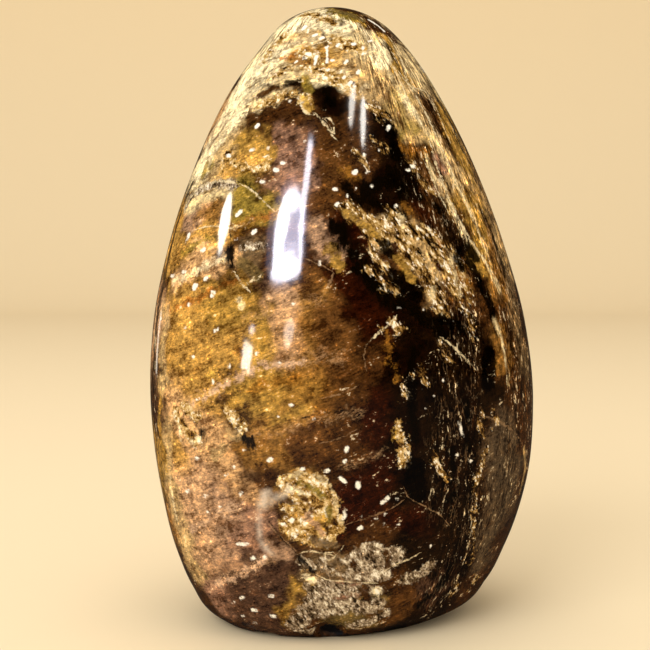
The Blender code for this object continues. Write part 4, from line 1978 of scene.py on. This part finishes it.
    def relief(self, hollow: Socket) -> Socket:
        """Give the polish its faint waviness, and the broken hollow its rough grain.

        Args:
            hollow: The mask of the broken hollow.

        Returns:
            The normal for the shader.
        """
        sheet = self.sheet
        wavy = sheet.times(sheet.noise(self.place, 0.22, 2.0, 0.5), self.wave_height)
        rough = sheet.times(self.swing, sheet.times(hollow, self.break_height))
        return sheet.add("ShaderNodeBump", {
            "Strength": 1.0, "Distance": MILLIMETRE,
            "Height": sheet.math("ADD", wavy, rough)}).outputs[0]


@dataclass(frozen=True)
class Softbox:
    """A lamp panel, hung to be mirrored between two of the photograph's pixels."""

    name: str
    top: Point
    bottom: Point
    width: float
    glow: float
    shape: str = "ELLIPSE"
    colour: Colour = tint("f4f2ff")
    distance: float = 0.6


@dataclass(frozen=True)
class PaleFloor:
    """The floor's matt finish, which the polished stone mirrors only faintly."""

    name: str = "pale_floor"
    colour: Colour = tint("f6e2bc")
    roughness: float = 0.8
    mirrored_share: float = 0.04

    def build(self) -> bpy.types.Material:
        """Make the material.

        Returns:
            The material.
        """
        material = bpy.data.materials.new(self.name)
        material.use_nodes = True
        sheet = Sheet(material.node_tree)
        shader = sheet.tree.nodes["Principled BSDF"]
        shader.inputs["Roughness"].default_value = self.roughness
        mirrored = sheet.add("ShaderNodeLightPath").outputs["Is Glossy Ray"]
        faint = tuple(part * self.mirrored_share for part in self.colour[:3]) + (1.0,)
        sheet.put(shader.inputs["Base Color"], sheet.mix(mirrored, self.colour, faint))
        return material


@dataclass(frozen=True)
class Lamp:
    """A broad square lamp: its power in watts, and its side and place in metres."""

    name: str
    power: float
    size: float
    place: Place


@dataclass
class Studio:
    """A plain pale floor that sweeps up behind the stone, and soft light."""

    view: PhotoView
    markings: Markings
    floor_finish: PaleFloor
    sky_colour: Colour = tint("fbf3e6")
    sky_strength: float = 0.85
    half_floor: float = 1.5
    sweep_radius: float = 0.5
    sweep_segments: int = 24
    aim: Place = (0.0, 0.0, 0.06)
    lamps: tuple[Lamp, ...] = (
        Lamp("key", 7.5, 0.8, (-0.6, -0.85, 0.75)),
        Lamp("top", 2.5, 0.7, (0.0, -0.1, 1.1)),
    )
    boxes: tuple[Softbox, ...] = (
        Softbox("main, left", (288, 194), (274, 270), 13, 85.0),
        Softbox("main, foot", (286, 254), (284, 281), 29, 85.0),
        Softbox("main, head", (293, 188), (290, 212), 16, 75.0),
        Softbox("main, right", (303, 205), (300, 264), 4, 80.0),
        Softbox("main, heart", (294, 196), (288, 268), 27, 34.0, colour=tint("dcd8f4")),
        Softbox("main, halo", (292, 178), (283, 290), 40, 5.0, colour=tint("e4dcff")),
        Softbox("streak", (311, 139), (302, 210), 4.5, 80.0, "RECTANGLE"),
        Softbox("second", (227, 196), (223, 246), 10, 80.0, colour=tint("fff8ea")),
        Softbox("low", (248, 344), (246, 370), 10, 70.0, "RECTANGLE", tint("fffaf0")),
        Softbox("low, right", (292, 319), (286, 350), 8, 25.0, colour=tint("fff2e4")),
        Softbox("low, upper", (253, 324), (252, 334), 5, 30.0),
        Softbox("limb, left", (161, 312), (158, 420), 2.5, 9.0, "RECTANGLE", tint("fff2dc")),
        Softbox("crown, left", (355, 84), (350, 127), 6, 45.0, colour=tint("fffaf0")),
        Softbox("crown, right", (364, 97), (362, 146), 5, 60.0, colour=tint("fffaf0")),
    )

    def build_floor(self) -> None:
        """Lay the floor and sweep it up into a backdrop."""
        shape = bmesh.new()
        bmesh.ops.create_grid(shape, x_segments=1, y_segments=1, size=self.half_floor)
        back = [edge for edge in shape.edges if all(v.co.y > 0 for v in edge.verts)]
        wall = bmesh.ops.extrude_edge_only(shape, edges=back)
        tops = [part for part in wall["geom"] if isinstance(part, bmesh.types.BMVert)]
        bmesh.ops.translate(shape, verts=tops, vec=(0.0, 0.0, self.half_floor))
        fold = [
            edge for edge in shape.edges
            if all(v.co.y > 0 and v.co.z < MILLIMETRE for v in edge.verts)
        ]
        bmesh.ops.bevel(
            shape, geom=fold, offset=self.sweep_radius, offset_type="OFFSET", affect="EDGES",
            segments=self.sweep_segments, profile=0.5, material=-1)
        bmesh.ops.recalc_face_normals(shape, faces=shape.faces[:])
        mesh = bpy.data.meshes.new("floor")
        shape.to_mesh(mesh)
        shape.free()
        mesh.shade_smooth()
        floor = placed("floor", mesh)
        mesh.materials.append(self.floor_finish.build())

    def build_sky(self) -> None:
        """Fill the room with even light that the polish doesn't mirror."""
        world = bpy.data.worlds.new("room")
        bpy.context.scene.world = world
        world.use_nodes = True
        background = world.node_tree.nodes["Background"]
        background.inputs["Color"].default_value = self.sky_colour
        background.inputs["Strength"].default_value = self.sky_strength
        world.cycles_visibility.glossy = False

    def mirrored(self, pixel: Point) -> tuple[Vector, Vector]:
        """Follow the camera's ray through a pixel to the stone and on from there.

        Args:
            pixel: Across and down in the photograph.

        Returns:
            Where the ray meets the stone, and the direction in which it is mirrored.
        """
        ray = self.view.ray(pixel)
        hit, normal = self.markings.tree.ray_cast(self.view.place, ray)[:2]
        return hit, ray.reflect(normal)

    def build_box(self, box: Softbox) -> None:
        """Hang one lamp panel where the stone mirrors it to the camera.

        Args:
            box: Where its mirror image lies in the photograph, and how it glows.
        """
        across, down = (box.top[0] + box.bottom[0]) / 2, (box.top[1] + box.bottom[1]) / 2
        hit, outward = self.mirrored((across, down))
        middle = hit + outward * box.distance

        def on_panel(pixel: Point) -> Vector:
            """Find where a pixel's mirrored ray meets the panel's plane."""
            start, way = self.mirrored(pixel)
            return start + way * ((middle - start).dot(outward) / way.dot(outward))

        top, bottom = on_panel(box.top), on_panel(box.bottom)
        y_axis = (top - bottom).normalized()
        x_axis = y_axis.cross(outward)
        half = box.width / 2
        sideways = on_panel((across + half, down)) - on_panel((across - half, down))
        data = bpy.data.lights.new(box.name, "AREA")
        data.shape = box.shape
        data.size = abs(sideways.dot(x_axis))
        data.size_y = (top - bottom).length
        data.energy = box.glow * data.size * data.size_y
        data.color = box.colour[:3]
        lamp = placed(box.name, data)
        turn = Matrix((x_axis, y_axis, outward)).transposed().to_4x4()
        lamp.matrix_world = Matrix.Translation((top + bottom) / 2) @ turn
        lamp.visible_camera = False
        lamp.visible_diffuse = False
        LOG.info("lamp %s: %.3f by %.3f m", box.name, data.size, data.size_y)

    def build_lamp(self, plan: Lamp) -> None:
        """Hang a broad lamp that lights the stone without a mirror image in it.

        Args:
            plan: The lamp to hang.
        """
        data = bpy.data.lights.new(plan.name, "AREA")
        data.energy, data.size = plan.power, plan.size
        lamp = placed(plan.name, data)
        lamp.location = plan.place
        way = Vector(self.aim) - lamp.location
        lamp.rotation_euler = way.to_track_quat("-Z", "Y").to_euler()
        lamp.visible_glossy = False
        lamp.visible_camera = False

    def build(self) -> None:
        """Set up the floor, the sky and the lamps."""
        self.build_floor()
        self.build_sky()
        for lamp in self.lamps:
            self.build_lamp(lamp)
        for box in self.boxes:
            self.build_box(box)
        bpy.context.scene.view_settings.view_transform = "Standard"


@dataclass
class Stone:
    """The polished stone as one piece."""

    body: StoneBody
    view: PhotoView
    finish: PolishedCalcite

    def build(self) -> tuple[bpy.types.Object, Markings]:
        """Shape, mark and dress the stone.

        Returns:
            The stone's object, and the markings, which know where the camera's rays meet it.
        """
        shape = self.body.build()
        mesh = bpy.data.meshes.new("polished_stone")
        shape.to_mesh(mesh)
        mesh.shade_smooth()
        markings = Markings(self.body, self.view, shape, mesh)
        markings.build()
        shape.free()
        stone = placed("polished_stone", mesh)
        mesh.materials.append(self.finish.build())
        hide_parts("stone")
        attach(stone, "root")
        return stone, markings


def main() -> None:
    """Build the camera, the stone and the studio, in order."""
    logging.basicConfig(level=logging.INFO, format="%(name)s: %(message)s")
    view = PhotoView()
    view.build()
    LOG.info("camera in place")
    stone, markings = Stone(StoneBody(), view, PolishedCalcite()).build()
    strokes = sum(len(layer) for layer in STROKES.values())
    LOG.info("stone: %d faces, %d strokes", len(stone.data.polygons), strokes)
    Studio(view, markings, PaleFloor()).build()
    LOG.info("floor and lamps in place")


if __name__ == "__main__":
    main()
